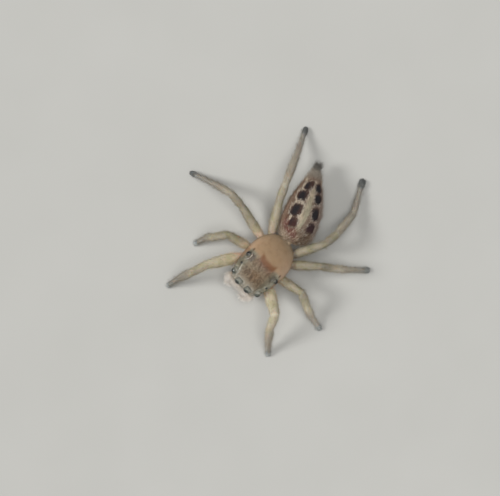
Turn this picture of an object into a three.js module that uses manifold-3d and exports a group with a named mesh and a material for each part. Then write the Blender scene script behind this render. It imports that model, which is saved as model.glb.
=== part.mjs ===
// A jumping spider, standing still on eight feet, at life size.
// Millimetres, +Z up. The spider faces -Y and its left side is +X. The feet stand on Z = 0.
// Y counts from the front of the face towards the rear until the whole is centred at the end.
import * as THREE from 'three';
import { mergeVertices } from 'three/addons/utils/BufferGeometryUtils.js';
import Module from 'manifold-3d';

// ---- Driving dimensions ----
const GAP = 0.03; // clearance between neighbouring pieces
const FINEST = 0.01; // edges shorter than about this are merged after cutting
const LIMB_SIDES = 10;
const PEDICEL_RINGS = 4;
const JAW_SIDES = 12;
const JAW_RINGS = 6;
const PALP_RINGS = 10;
const FANG_SIDES = 8;
const FANG_RINGS = 5;
const BODY_SIDES = 24;
const SECTION_MIDDLE = 0.45; // where a body's section is widest, as a share of its height
const CUT_SIZE = 8; // edge of the box that a cutting plane is made from
const HIP_HEIGHT = 1.05;
const TOE_HEIGHT = 0.15; // height of the foot's axis where its tip begins
const TOE_LENGTH = 0.2; // the tip past there, which the floor cuts flat
const TOE_RADIUS = 0.15;

// Carapace, from its face to its rear edge: place, half width, upper and lower outline.
const CARAPACE = [
  { y: -0.16, half: 0, top: 1.88, bottom: 1.88 },
  { y: -0.15, half: 0.72, top: 2.3, bottom: 1.48 },
  { y: -0.02, half: 0.96, top: 2.5, bottom: 1.36 },
  { y: 0.3, half: 1.14, top: 2.64, bottom: 1.28 },
  { y: 0.85, half: 1.31, top: 2.76, bottom: 1.23 },
  { y: 1.5, half: 1.41, top: 2.82, bottom: 1.2 },
  { y: 2.2, half: 1.43, top: 2.74, bottom: 1.18 },
  { y: 2.85, half: 1.31, top: 2.42, bottom: 1.18 },
  { y: 3.38, half: 1.0, top: 2.02, bottom: 1.2 },
  { y: 3.72, half: 0.52, top: 1.68, bottom: 1.26 },
  { y: 3.8, half: 0, top: 1.44, bottom: 1.44 },
];
const CARAPACE_SQUARENESS = 2.5;
const CARAPACE_ROWS = 20;

// Abdomen, along its own axis from the waist to the spinnerets.
const ABDOMEN = [
  { y: 0, half: 0, top: 1.62, bottom: 1.62 },
  { y: 0.06, half: 0.52, top: 2.1, bottom: 1.15 },
  { y: 0.35, half: 0.9, top: 2.44, bottom: 0.86 },
  { y: 0.9, half: 1.12, top: 2.7, bottom: 0.68 },
  { y: 1.6, half: 1.16, top: 2.84, bottom: 0.6 },
  { y: 2.35, half: 1.07, top: 2.82, bottom: 0.62 },
  { y: 3.1, half: 0.87, top: 2.6, bottom: 0.72 },
  { y: 3.8, half: 0.6, top: 2.24, bottom: 0.86 },
  { y: 4.35, half: 0.39, top: 1.82, bottom: 0.98 },
  { y: 4.62, half: 0.25, top: 1.56, bottom: 1.08 },
  { y: 4.7, half: 0, top: 1.3, bottom: 1.3 },
];
const ABDOMEN_SQUARENESS = 2.1;
const ABDOMEN_ROWS = 22;
const WAIST = new THREE.Vector3(0.31, 3.96, 0);
const ABDOMEN_TURN = 27.5; // degrees, swung towards the spider's right
const PEDICEL_PATH = [[0, 3.5, 1.46], [0.07, 3.8, 1.5], [0.29, 4.2, 1.56]];
const PEDICEL_RADII = [0.2, 0.18, 0.2];

// Sternum, under the carapace between the coxae.
const STERNUM = [
  { y: 0.95, half: 0, top: 1.02, bottom: 1.02 },
  { y: 1.0, half: 0.28, top: 1.16, bottom: 0.92 },
  { y: 1.5, half: 0.5, top: 1.2, bottom: 0.86 },
  { y: 2.1, half: 0.52, top: 1.2, bottom: 0.84 },
  { y: 2.75, half: 0.34, top: 1.18, bottom: 0.88 },
  { y: 3.1, half: 0, top: 1.02, bottom: 1.02 },
];
const STERNUM_SQUARENESS = 2.2;
const STERNUM_SIDES = 12;
const STERNUM_ROWS = 10;
const ENDITE = { size: new THREE.Vector3(0.16, 0.34, 0.14), x: 0.22, y: 0.72, z: 0.98, turn: 12 };

// The four pairs of eyes: centre of the left one, radius, and facets around.
const EYES = {
  front_middle: { x: 0.38, y: 0.03, z: 2.16, radius: 0.27, sides: 14 },
  front_side: { x: 1.0, y: 0.22, z: 2.28, radius: 0.18, sides: 12 },
  rear_middle: { x: 1.08, y: 0.86, z: 2.5, radius: 0.075, sides: 8 },
  rear_side: { x: 1.14, y: 1.52, z: 2.58, radius: 0.18, sides: 12 },
};

const CHELICERA_PATH = [[0.35, 0.22, 1.78], [0.35, 0.12, 1.25], [0.31, 0.16, 0.72]];
const CHELICERA_RADII = [0.26, 0.35, 0.34, 0.28, 0.2];
const FANG_PATH = [[0.31, 0.12, 0.67], [0.24, 0.17, 0.56], [0.1, 0.22, 0.53]];
const FANG_RADII = [0.085, 0.07, 0.04];
const FANG_TOP = 0.69;
const PALP_PATH = [
  [0.6, 0.42, 1.12],
  [0.84, 0.08, 1.36],
  [0.86, -0.2, 1.42],
  [0.68, -0.38, 1.18],
  [0.46, -0.4, 0.8],
];
const PALP_RADII = [0.15, 0.18, 0.18, 0.18, 0.19, 0.19, 0.12];
const SPINNERET = { length: 0.5, reach: 0.1, base: 0.2, tip: 0.13, lobes: 0.25, sides: 16 };

// The four pairs of legs: hip and coxa places on the left side, lengths of the four
// outer segments, and the radius at the middle of each of them.
const LEGS = [
  { hip: [1.2, 1.08], coxa: [0.5, 1.24], lengths: [2.4, 1.1, 1.25, 1.45], radii: [0.38, 0.3, 0.28, 0.24] },
  { hip: [1.28, 1.88], coxa: [0.62, 1.84], lengths: [1.9, 1.0, 1.2, 1.2], radii: [0.32, 0.29, 0.275, 0.24] },
  { hip: [1.14, 2.84], coxa: [0.58, 2.44], lengths: [2.4, 1.05, 1.3, 1.85], radii: [0.32, 0.28, 0.26, 0.24] },
  { hip: [0.86, 3.34], coxa: [0.4, 2.92], lengths: [2.45, 1.05, 2.1, 2.2], radii: [0.32, 0.28, 0.27, 0.24] },
];
const COXA_RADIUS = 0.31;
const JOINT_SHRINK = 0.82; // radius at a joint, as a share of the radius between joints
const FULLEST = [0.28, 0.6]; // where along a segment its radius is greatest

// Stance of each leg in degrees. Heading is seen from above: 0 points straight out from the
// body and 90 points to the rear. Rise is the slope of the segment above the level.
const STANCE = {
  left: [
    { femur: [-35, 46], patella: [-59, -31], tibia: [-39, -50], foot: -36 },
    { femur: [13, 33], patella: [-20, -28], tibia: [-12, -46], foot: -8 },
    { femur: [45, 41], patella: [38, -31], tibia: [38, -41], foot: 43 },
    { femur: [68, 31], patella: [83, -24], tibia: [90, -33], foot: 118 },
  ],
  right: [
    { femur: [-57, 24], patella: [-73, 19], tibia: [-77, -56], foot: -88 },
    { femur: [-17, 33], patella: [-55, 14], tibia: [-55, -79], foot: -80 },
    { femur: [10, 12], patella: [1, 19], tibia: [-14, -34], foot: -19 },
    { femur: [54, 24], patella: [62, 13], tibia: [69, -28], foot: 67 },
  ],
};
const SEGMENTS = ['femur', 'patella', 'tibia', 'foot'];
const SIDES = { left: 1, right: -1 };

// ---- Materials ----
function finish(color, roughness) {
  return new THREE.MeshStandardMaterial({ color, roughness, metalness: 0 });
}
const COLOURS = {
  carapace: finish(0x9a7f63, 0.7),
  abdomen: finish(0x8f7a66, 0.8),
  leg: finish(0xc9c3a2, 0.6),
  foot: finish(0x8f9088, 0.7),
  pale: finish(0xd8cdbd, 0.7),
  horn: finish(0x3a2a22, 0.35),
  eye: finish(0x16130f, 0.1),
};

// ---- Joining and cutting ----
const wasm = await Module();
wasm.setup();

function solid(geometry) {
  const bare = geometry.clone();
  bare.deleteAttribute('normal');
  bare.deleteAttribute('uv');
  const welded = mergeVertices(bare, 1e-4);
  const corners = welded.index.array;
  const kept = [];
  for (let i = 0; i < corners.length; i += 3) {
    const [a, b, c] = [corners[i], corners[i + 1], corners[i + 2]];
    if (a !== b && b !== c && c !== a) kept.push(a, b, c);
  }
  const mesh = new wasm.Mesh({
    numProp: 3,
    vertProperties: new Float32Array(welded.attributes.position.array),
    triVerts: new Uint32Array(kept),
  });
  return new wasm.Manifold(mesh);
}

// Merges the slivers that cutting leaves along an edge.
function cleaned(body) {
  return body.asOriginal().simplify(FINEST);
}

function geometryOf(body) {
  const mesh = body.getMesh();
  const geometry = new THREE.BufferGeometry();
  geometry.setAttribute('position', new THREE.BufferAttribute(mesh.vertProperties.slice(), 3));
  geometry.setIndex(new THREE.BufferAttribute(mesh.triVerts.slice(), 1));
  geometry.computeVertexNormals();
  return geometry;
}

// The half space in front of a plane, as a big box with one face on the plane.
function halfSpace(point, direction) {
  const box = new THREE.BoxGeometry(CUT_SIZE, CUT_SIZE, CUT_SIZE);
  box.translate(0, CUT_SIZE / 2, 0);
  const turn = new THREE.Quaternion().setFromUnitVectors(new THREE.Vector3(0, 1, 0), direction);
  box.applyQuaternion(turn);
  box.translate(point.x, point.y, point.z);
  return solid(box);
}

// ---- Shapes ----
// A curve whose x runs smoothly through the given values.
function valuesAlong(values) {
  const places = values.map((value) => new THREE.Vector3(value, 0, 0));
  return new THREE.CatmullRomCurve3(places, false, 'catmullrom', 0.5);
}

// A closed body lofted along Y through its stations, with superelliptic sections.
// grow makes it larger all over, for cutting its neighbours clear of it.
function loftedBody(stations, squareness, around, rows, grow = 0) {
  const outline = stations.map((s) => new THREE.Vector3(s.y, s.half, 0));
  const profile = stations.map((s) => new THREE.Vector3(s.top, s.bottom, 0));
  const plan = new THREE.CatmullRomCurve3(outline, false, 'catmullrom', 0.5);
  const side = new THREE.CatmullRomCurve3(profile, false, 'catmullrom', 0.5);
  const ball = new THREE.SphereGeometry(1, around, rows);
  const places = ball.attributes.position;
  const rounded = (value) => Math.sign(value) * Math.abs(value) ** (2 / squareness);
  for (let i = 0; i < places.count; i += 1) {
    const height = THREE.MathUtils.clamp(places.getY(i), -1, 1);
    const along = 1 - Math.acos(height) / Math.PI;
    const { x: y, y: half } = plan.getPoint(along);
    const { x: top, y: bottom } = side.getPoint(along);
    const angle = Math.atan2(places.getZ(i), places.getX(i));
    const middle = bottom + SECTION_MIDDLE * (top - bottom);
    const atPole = Math.abs(height) > 1 - 1e-6;
    const swell = atPole ? 0 : grow;
    const rise = Math.sin(angle) > 0 ? top - middle : middle - bottom;
    const x = atPole ? 0 : (half + swell) * rounded(Math.cos(angle));
    const z = atPole ? middle : middle + (rise + swell) * rounded(Math.sin(angle));
    const lengthen = grow * (2 * along - 1);
    places.setXYZ(i, x, y + lengthen, z);
  }
  return solid(ball);
}

// A round limb that follows a curve, its radius running through the given ones.
function limbAlong(path, radii, sides, rings) {
  const widths = valuesAlong(radii);
  const profile = [new THREE.Vector2(0, 0)];
  for (let i = 0; i <= rings; i += 1) {
    profile.push(new THREE.Vector2(widths.getPoint(i / rings).x, i / rings));
  }
  profile.push(new THREE.Vector2(0, 1));
  const tube = new THREE.LatheGeometry(profile, sides);
  const places = tube.attributes.position;
  const frames = path.computeFrenetFrames(rings, false);
  for (let i = 0; i < places.count; i += 1) {
    const along = places.getY(i);
    const ring = Math.round(along * rings);
    const place = path.getPointAt(along);
    place.addScaledVector(frames.normals[ring], places.getX(i));
    place.addScaledVector(frames.binormals[ring], -places.getZ(i));
    places.setXYZ(i, place.x, place.y, place.z);
  }
  return solid(tube);
}

// A straight limb segment between two joints, a little fuller in the middle. It runs past
// both joints so that the joints' planes can cut it, unless it ends in a toe.
function segment(from, to, startRadius, middleRadius, endRadius, isToe = false) {
  const heading = new THREE.Vector3().subVectors(to, from);
  const length = heading.length();
  heading.normalize();
  const overrun = Math.max(startRadius, endRadius);
  const tip = isToe ? TOE_LENGTH : overrun;
  const tipRadius = isToe ? TOE_RADIUS : endRadius;
  const profile = [
    new THREE.Vector2(0, -overrun),
    new THREE.Vector2(startRadius, -overrun),
    new THREE.Vector2(startRadius, 0),
    new THREE.Vector2(middleRadius, length * FULLEST[0]),
    new THREE.Vector2(middleRadius, length * FULLEST[1]),
    new THREE.Vector2(endRadius, length),
    new THREE.Vector2(tipRadius, length + tip),
    new THREE.Vector2(0, length + tip),
  ];
  const tube = new THREE.LatheGeometry(profile, LIMB_SIDES);
  tube.applyQuaternion(new THREE.Quaternion().setFromUnitVectors(new THREE.Vector3(0, 1, 0), heading));
  tube.translate(from.x, from.y, from.z);
  return solid(tube);
}

function curveThrough(points, mirror = 1) {
  const places = points.map(([x, y, z]) => new THREE.Vector3(mirror * x, y, z));
  return new THREE.CatmullRomCurve3(places);
}

function ballAt(centre, radius, sides) {
  const ball = new THREE.SphereGeometry(radius, sides, Math.round(sides * 0.6));
  ball.rotateX(Math.PI / 2);
  ball.translate(centre.x, centre.y, centre.z);
  return solid(ball);
}

// ---- The spider ----
const spider = new THREE.Group();

function addPiece(name, body, material, isClean = false) {
  const mesh = new THREE.Mesh(geometryOf(isClean ? body : cleaned(body)), material);
  mesh.name = name;
  spider.add(mesh);
}

function carapace(grow) {
  return loftedBody(CARAPACE, CARAPACE_SQUARENESS, BODY_SIDES, CARAPACE_ROWS, grow);
}

const carapaceKeepClear = carapace(GAP);

function eyePlaces() {
  const list = [];
  for (const [side, mirror] of Object.entries(SIDES)) {
    for (const [kind, eye] of Object.entries(EYES)) {
      const centre = new THREE.Vector3(mirror * eye.x, eye.y, eye.z);
      list.push({ name: `eye_${kind}_${side}`, centre, eye });
    }
  }
  return list;
}

function addCephalothorax() {
  let body = carapace(0);
  for (const { name, centre, eye } of eyePlaces()) {
    body = body.subtract(ballAt(centre, eye.radius + GAP, eye.sides));
    addPiece(name, ballAt(centre, eye.radius, eye.sides), COLOURS.eye);
  }
  addPiece('cephalothorax', body, COLOURS.carapace);
}

function abdomenPlace() {
  const turn = new THREE.Matrix4().makeRotationZ(THREE.MathUtils.degToRad(ABDOMEN_TURN));
  return turn.setPosition(WAIST);
}

function placedAbdomen(grow) {
  const body = loftedBody(ABDOMEN, ABDOMEN_SQUARENESS, BODY_SIDES, ABDOMEN_ROWS, grow);
  return body.transform(abdomenPlace().toArray());
}

// Four short tubes side by side, as one lobed cone at the abdomen's tip.
function spinnerets() {
  const end = ABDOMEN[ABDOMEN.length - 1];
  const { tip, base, length, reach, lobes, sides } = SPINNERET;
  const bundle = new THREE.CylinderGeometry(tip, base, length, sides);
  const places = bundle.attributes.position;
  for (let i = 0; i < places.count; i += 1) {
    const angle = Math.atan2(places.getZ(i), places.getX(i));
    const lobe = 1 + lobes * Math.abs(Math.sin(2 * angle));
    places.setXYZ(i, places.getX(i) * lobe, places.getY(i), places.getZ(i) * lobe);
  }
  bundle.translate(0, end.y + reach, end.top);
  return solid(bundle).transform(abdomenPlace().toArray());
}

const abdomenKeepClear = placedAbdomen(GAP);

function addAbdomen() {
  addPiece('abdomen', placedAbdomen(0), COLOURS.abdomen);
  addPiece('spinnerets', spinnerets().subtract(abdomenKeepClear), COLOURS.horn);
  const waist = limbAlong(curveThrough(PEDICEL_PATH), PEDICEL_RADII, LIMB_SIDES, PEDICEL_RINGS);
  addPiece('pedicel', waist.subtract(carapaceKeepClear).subtract(abdomenKeepClear), COLOURS.horn);
}

function sternum(grow) {
  let plate = loftedBody(STERNUM, STERNUM_SQUARENESS, STERNUM_SIDES, STERNUM_ROWS, grow);
  for (const mirror of Object.values(SIDES)) {
    const lobe = new THREE.SphereGeometry(1, 8, 6);
    lobe.scale(ENDITE.size.x + grow, ENDITE.size.y + grow, ENDITE.size.z + grow);
    lobe.rotateZ(THREE.MathUtils.degToRad(mirror * ENDITE.turn));
    lobe.translate(mirror * ENDITE.x, ENDITE.y, ENDITE.z);
    plate = plate.add(solid(lobe));
  }
  return plate;
}

const sternumKeepClear = sternum(GAP);

function jaw(mirror, grow) {
  const radii = CHELICERA_RADII.map((radius) => radius + grow);
  return limbAlong(curveThrough(CHELICERA_PATH, mirror), radii, JAW_SIDES, JAW_RINGS);
}

function addMouthparts() {
  addPiece('sternum', sternum(0).subtract(carapaceKeepClear), COLOURS.leg);
  const up = new THREE.Vector3(0, 0, 1);
  for (const [side, mirror] of Object.entries(SIDES)) {
    const besideMiddle = new THREE.Vector3(mirror * GAP / 2, 0, 0);
    const otherSide = halfSpace(besideMiddle, new THREE.Vector3(-mirror, 0, 0));
    let chelicera = jaw(mirror, 0).subtract(carapaceKeepClear);
    chelicera = chelicera.subtract(sternumKeepClear).subtract(otherSide);
    addPiece(`chelicera_${side}`, chelicera, COLOURS.pale);

    let fang = limbAlong(curveThrough(FANG_PATH, mirror), FANG_RADII, FANG_SIDES, FANG_RINGS);
    fang = fang.subtract(halfSpace(new THREE.Vector3(0, 0, FANG_TOP), up));
    addPiece(`fang_${side}`, fang, COLOURS.horn);

    let palp = limbAlong(curveThrough(PALP_PATH, mirror), PALP_RADII, LIMB_SIDES, PALP_RINGS);
    palp = palp.subtract(carapaceKeepClear).subtract(sternumKeepClear).subtract(jaw(mirror, GAP));
    addPiece(`palp_${side}`, palp, COLOURS.pale);
  }
}

// The joints of one leg, from its coxa's inner end to its toe.
function legJoints(mirror, leg, stance) {
  const joints = [
    new THREE.Vector3(mirror * leg.coxa[0], leg.coxa[1], HIP_HEIGHT),
    new THREE.Vector3(mirror * leg.hip[0], leg.hip[1], HIP_HEIGHT),
  ];
  SEGMENTS.forEach((name, i) => {
    const from = joints[joints.length - 1];
    const length = leg.lengths[i];
    const lands = name === 'foot';
    const heading = THREE.MathUtils.degToRad(lands ? stance.foot : stance[name][0]);
    const rise = lands
      ? Math.asin((TOE_HEIGHT - from.z) / length)
      : THREE.MathUtils.degToRad(stance[name][1]);
    const reach = length * Math.cos(rise);
    joints.push(new THREE.Vector3(
      from.x + mirror * reach * Math.cos(heading),
      from.y + reach * Math.sin(heading),
      from.z + length * Math.sin(rise),
    ));
  });
  return joints;
}

// The plane through a joint that halves the bend between two segments, as a half space on
// the far side of a thin gap. Facing 1 clears what lies past the joint, and -1 what lies before.
function pastJoint(joint, before, after, facing) {
  const bend = new THREE.Vector3().addVectors(before, after).normalize();
  const edge = joint.clone().addScaledVector(bend, -facing * GAP / 2);
  return halfSpace(edge, bend.multiplyScalar(facing));
}

// One leg in its five pieces. rootsBefore holds the coxae and femora of the legs ahead of
// it on its side, a little enlarged, and this leg's own are added to it.
function addLeg(side, mirror, number, rootsBefore) {
  const leg = LEGS[number];
  const joints = legJoints(mirror, leg, STANCE[side][number]);
  const names = ['coxa', ...SEGMENTS];
  const headings = names.map((_, i) => new THREE.Vector3().subVectors(joints[i + 1], joints[i]).normalize());
  const middles = [COXA_RADIUS, ...leg.radii];
  const ends = middles.map((radius, i) => JOINT_SHRINK * Math.min(radius, middles[i + 1] ?? radius));
  const ownRoots = [];

  names.forEach((name, i) => {
    const startRadius = i === 0 ? middles[0] : ends[i - 1];
    const isToe = name === 'foot';
    let body = segment(joints[i], joints[i + 1], startRadius, middles[i], ends[i], isToe);
    if (i > 0) {
      body = body.subtract(pastJoint(joints[i], headings[i - 1], headings[i], -1));
    }
    if (!isToe) {
      body = body.subtract(pastJoint(joints[i + 1], headings[i], headings[i + 1], 1));
    }
    if (name === 'coxa' || name === 'femur') {
      body = body.subtract(carapaceKeepClear).subtract(sternumKeepClear).subtract(abdomenKeepClear);
      for (const other of rootsBefore) body = body.subtract(other);
      const radii = [startRadius, middles[i], ends[i]].map((radius) => radius + GAP);
      ownRoots.push(segment(joints[i], joints[i + 1], ...radii));
    }
    if (isToe) {
      const underToe = joints[i + 1].clone().setZ(0);
      body = cleaned(body).subtract(halfSpace(underToe, new THREE.Vector3(0, 0, -1)));
    }
    const material = isToe ? COLOURS.foot : COLOURS.leg;
    addPiece(`${name}_${side}_${number + 1}`, body, material, isToe);
  });
  rootsBefore.push(...ownRoots);
}

addCephalothorax();
addAbdomen();
addMouthparts();
for (const [side, mirror] of Object.entries(SIDES)) {
  const rootsBefore = [];
  LEGS.forEach((_, number) => addLeg(side, mirror, number, rootsBefore));
}

// The origin sits on the floor under the middle of the whole animal.
const reach = new THREE.Box3().setFromObject(spider);
const middle = reach.getCenter(new THREE.Vector3());
spider.position.set(-middle.x, -middle.y, 0);
spider.updateMatrixWorld(true);

export default spider;
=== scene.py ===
"""A jumping spider at life size: one skin with its coat of hairs, eyes, fangs, claws and spines.

Shapes are worked out in millimetres from the frame's own nodes and scaled to metres when a mesh is made.
"""

import math
from functools import reduce

import bpy
import numpy as np
from mathutils import Matrix, Vector
from mathutils.kdtree import KDTree


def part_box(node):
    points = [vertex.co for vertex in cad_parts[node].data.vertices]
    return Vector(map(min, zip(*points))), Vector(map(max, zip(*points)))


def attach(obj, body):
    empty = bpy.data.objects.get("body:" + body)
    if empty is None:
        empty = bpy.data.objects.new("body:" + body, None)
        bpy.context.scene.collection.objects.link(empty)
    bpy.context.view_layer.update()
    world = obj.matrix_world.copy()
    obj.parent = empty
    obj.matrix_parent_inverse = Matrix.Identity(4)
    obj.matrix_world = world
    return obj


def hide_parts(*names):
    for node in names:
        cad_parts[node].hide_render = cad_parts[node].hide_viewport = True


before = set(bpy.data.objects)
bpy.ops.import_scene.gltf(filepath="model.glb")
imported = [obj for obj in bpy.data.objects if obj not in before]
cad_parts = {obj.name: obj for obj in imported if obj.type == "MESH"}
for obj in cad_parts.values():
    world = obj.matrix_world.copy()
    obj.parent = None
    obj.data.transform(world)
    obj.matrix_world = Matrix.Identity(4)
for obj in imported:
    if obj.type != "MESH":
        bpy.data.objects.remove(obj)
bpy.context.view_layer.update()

MM = 0.001
FULL_TURN = 2 * math.pi
UP = np.array([0.0, 0.0, 1.0])
REARWARD = np.array([0.0, 1.0, 0.0])
SIDES = {"left": 1.0, "right": -1.0}
LEGS = [(side, number) for side in SIDES for number in (1, 2, 3, 4)]

# What a stretch of skin belongs to.
ABDOMEN, CARAPACE, LIMB, FACE = range(4)

# How deep the coat is, in millimetres: the skin lies this far inside the solids.
ABDOMEN_COAT_DEPTH = 0.06
CARAPACE_COAT_DEPTH = 0.03
SKIN_VOXEL = 0.045
SKIN_SMOOTHING = 4


# ---------------- the frame's places

def read_rows(items, name, width=3, kind=float):
    """One fact of each of a mesh's items, as rows."""
    values = np.empty(len(items) * width, dtype=kind)
    items.foreach_get(name, values)
    return values.reshape(-1, width)


def node_points(name):
    """A node's corner points in millimetres."""
    points = read_rows(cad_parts[name].data.vertices, "co")
    return np.unique(np.round(points / MM, 4), axis=0)


def node_box(name):
    """A node's low and high corner and its centre."""
    low, high = (np.array(corner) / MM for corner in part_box(name))
    return low, high, (low + high) / 2


def joint_between(name_a, name_b, reach=0.14):
    """The middle of the joint where two neighbouring nodes meet."""
    a, b = node_points(name_a), node_points(name_b)
    apart = np.linalg.norm(a[:, None, :] - b[None, :, :], axis=2)
    near_a = a[apart.min(axis=1) < reach]
    near_b = b[apart.min(axis=0) < reach]
    return (near_a.mean(axis=0) + near_b.mean(axis=0)) / 2


def leg_joints(side, number):
    """Joints of one leg: coxa's inner end, hip, knee, patella's end, tibia's end, sole."""
    chain = [f"{part}_{side}_{number}" for part in ("coxa", "femur", "patella", "tibia", "foot")]
    coxa, foot = node_points(chain[0]), node_points(chain[-1])
    off_middle = np.abs(coxa[:, 0] - node_box("cephalothorax")[2][0])
    inner = coxa[off_middle < off_middle.min() + 0.15].mean(axis=0)
    sole = foot[foot[:, 2] < 0.004].mean(axis=0)
    return [inner, *map(joint_between, chain, chain[1:]), sole]


class LocalAxes:
    """A level set of axes: x across to the left, y along the body, z up, from an origin on the floor."""

    def __init__(self, origin, along):
        self.origin = np.array([origin[0], origin[1], 0.0])
        self.along = np.array([along[0], along[1], 0.0]) / math.hypot(along[0], along[1])
        self.across = np.array([self.along[1], -self.along[0], 0.0])

    def to_local(self, points):
        moved = points - self.origin
        return np.stack([moved @ self.across, moved @ self.along, moved @ UP], axis=1)

    def to_frame(self, points):
        return (self.origin + points[:, :1] * self.across
                + points[:, 1:2] * self.along + points[:, 2:] * UP)


def abdomen_axes():
    """Axes on the abdomen's waist end, along its own length."""
    points = node_points("abdomen")
    flat = points[:, :2] - points[:, :2].mean(axis=0)
    _, _, directions = np.linalg.svd(flat, full_matrices=False)
    along = directions[0] * np.sign(directions[0][1])
    axes = LocalAxes(points[:, :2].mean(axis=0), along)
    local = axes.to_local(points)
    middle = (local[:, 0].min() + local[:, 0].max()) / 2
    start = axes.to_frame(np.array([[middle, local[:, 1].min(), 0.0]]))[0]
    return LocalAxes(start, along)


def carapace_axes():
    low, _, centre = node_box("cephalothorax")
    return LocalAxes([centre[0], low[1]], REARWARD)


# ---------------- mesh tools

def mesh_of(name, points, faces):
    """A smooth mesh in metres from points in millimetres and faces of three or four corners each."""
    mesh = bpy.data.meshes.new(name)
    mesh.vertices.add(len(points))
    mesh.vertices.foreach_set("co", (np.asarray(points) * MM).astype(np.float32).ravel())
    faces = np.asarray(faces, dtype=np.int32)
    mesh.loops.add(faces.size)
    mesh.loops.foreach_set("vertex_index", faces.ravel())
    mesh.polygons.add(len(faces))
    mesh.polygons.foreach_set("loop_start", np.arange(0, faces.size, faces.shape[1], dtype=np.int32))
    mesh.update(calc_edges=True)
    mesh.polygons.foreach_set("use_smooth", np.ones(len(faces), dtype=bool))
    mesh.validate()
    return mesh


def linked(name, data):
    """An object in the scene."""
    thing = bpy.data.objects.new(name, data)
    bpy.context.scene.collection.objects.link(thing)
    return thing


def piece_of(name, mesh, material):
    piece = linked(name, mesh)
    mesh.materials.append(material)
    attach(piece, "root")
    return piece


def set_point_values(mesh, name, values):
    """Stores one number or one vector per vertex under a name that the materials read."""
    values = np.asarray(values, dtype=np.float32)
    kind, key = ("FLOAT", "value") if values.ndim == 1 else ("FLOAT_VECTOR", "vector")
    mesh.attributes.new(name, kind, "POINT").data.foreach_set(key, values.ravel())


def set_part_values(mesh, kinds):
    """Stores which part each vertex belongs to, as the markings read it."""
    for name, kind in (("on_abdomen", ABDOMEN), ("on_limb", LIMB), ("on_face", FACE)):
        set_point_values(mesh, name, kinds == kind)


def unit(vectors):
    length = np.linalg.norm(vectors, axis=-1, keepdims=True)
    return vectors / np.maximum(length, 1e-9)


def nearest_of(points, wanted):
    """For each wanted place, which of the points is nearest."""
    tree = KDTree(len(points))
    for i, point in enumerate(points):
        tree.insert(point, i)
    tree.balance()
    return np.array([tree.find(place)[1] for place in wanted])


def round_angles(count):
    return np.linspace(0, FULL_TURN, count, endpoint=False)


def ring_about(axis, angle):
    """Unit arrows square to an axis, at angles from its level side."""
    across = unit(np.cross(axis, UP))
    up = np.cross(across, axis)
    return across * np.cos(angle)[:, None] + up * np.sin(angle)[:, None]


def smooth_curve(values, shares, count):
    """Values given at shares of a length, run smoothly through count even steps."""
    wanted = np.linspace(0, 1, count)
    values, shares = np.asarray(values, float), np.asarray(shares, float)
    slopes = np.gradient(values, shares, axis=0)
    index = np.clip(np.searchsorted(shares, wanted, side="right") - 1, 0, len(shares) - 2)
    span = shares[index + 1] - shares[index]
    t = (wanted - shares[index]) / span
    shape = (-1,) + (1,) * (values.ndim - 1)
    t, span = t.reshape(shape), span.reshape(shape)
    return ((2 * t**3 - 3 * t**2 + 1) * values[index] + (t**3 - 2 * t**2 + t) * span * slopes[index]
            + (-2 * t**3 + 3 * t**2) * values[index + 1] + (t**3 - t**2) * span * slopes[index + 1])


def even_curve(values, count):
    return smooth_curve(values, np.linspace(0, 1, len(values)), count)


def ring_faces(rings, sides):
    """Quads between rings of an even number of points, with a fan of quads closing each end."""
    around = np.arange(sides)
    following = (around + 1) % sides
    fan = np.array([(0, i, i + 1, i + 2) for i in range(1, sides - 2, 2)])
    faces = [fan[:, ::-1], fan + (rings - 1) * sides]
    for ring in range(rings - 1):
        low, high = ring * sides, (ring + 1) * sides
        faces.append(np.stack([low + around, low + following, high + following, high + around], axis=1))
    return np.concatenate(faces)


class Flesh:
    """Closed shapes to be joined, each point knowing its part, its lie and its stretch of leg.

    A stretch is where it starts and ends, its shares of the whole leg, and the leg counted from 0.
    """

    def __init__(self):
        self.shapes, self.stretches, self.count = [], [], 0

    def add(self, points, faces, kind, lies, stretch=None):
        owner = -1
        if stretch is not None:
            owner = len(self.stretches)
            self.stretches.append(stretch)
        size = len(points)
        lies = unit(np.broadcast_to(lies, points.shape))
        self.shapes.append((points, faces + self.count, np.full(size, kind), lies, np.full(size, owner)))
        self.count += size

    def joined(self):
        return [np.concatenate(some) for some in zip(*self.shapes)]


# ---------------- the body's shapes

# Stations as shares of the node's own length, half width and height:
# place along it, half width, upper outline, lower outline.
CARAPACE_STATIONS = np.array([
    (0.0, 0.0, 0.43, 0.43),
    (0.004, 0.50, 0.68, 0.18),
    (0.035, 0.67, 0.80, 0.11),
    (0.116, 0.80, 0.89, 0.06),
    (0.255, 0.915, 0.965, 0.03),
    (0.42, 0.985, 1.0, 0.01),
    (0.595, 1.0, 0.95, 0.0),
    (0.76, 0.915, 0.755, 0.0),
    (0.894, 0.70, 0.51, 0.01),
    (0.98, 0.36, 0.30, 0.05),
    (1.0, 0.0, 0.16, 0.16),
])
ABDOMEN_STATIONS = np.array([
    (0.0, 0.0, 0.455, 0.455),
    (0.013, 0.445, 0.67, 0.245),
    (0.074, 0.775, 0.82, 0.115),
    (0.19, 0.965, 0.94, 0.035),
    (0.34, 1.0, 1.0, 0.0),
    (0.5, 0.925, 0.99, 0.01),
    (0.66, 0.75, 0.895, 0.055),
    (0.81, 0.515, 0.73, 0.115),
    (0.926, 0.335, 0.545, 0.17),
    (0.983, 0.215, 0.43, 0.215),
    (1.0, 0.0, 0.31, 0.31),
])
MIDDLE_SHARE = 0.45  # how far up a section its widest level lies


def rounded(wave, squareness):
    """A sine or cosine, filled out towards a square."""
    return np.sign(wave) * np.abs(wave) ** (2 / squareness)


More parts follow.
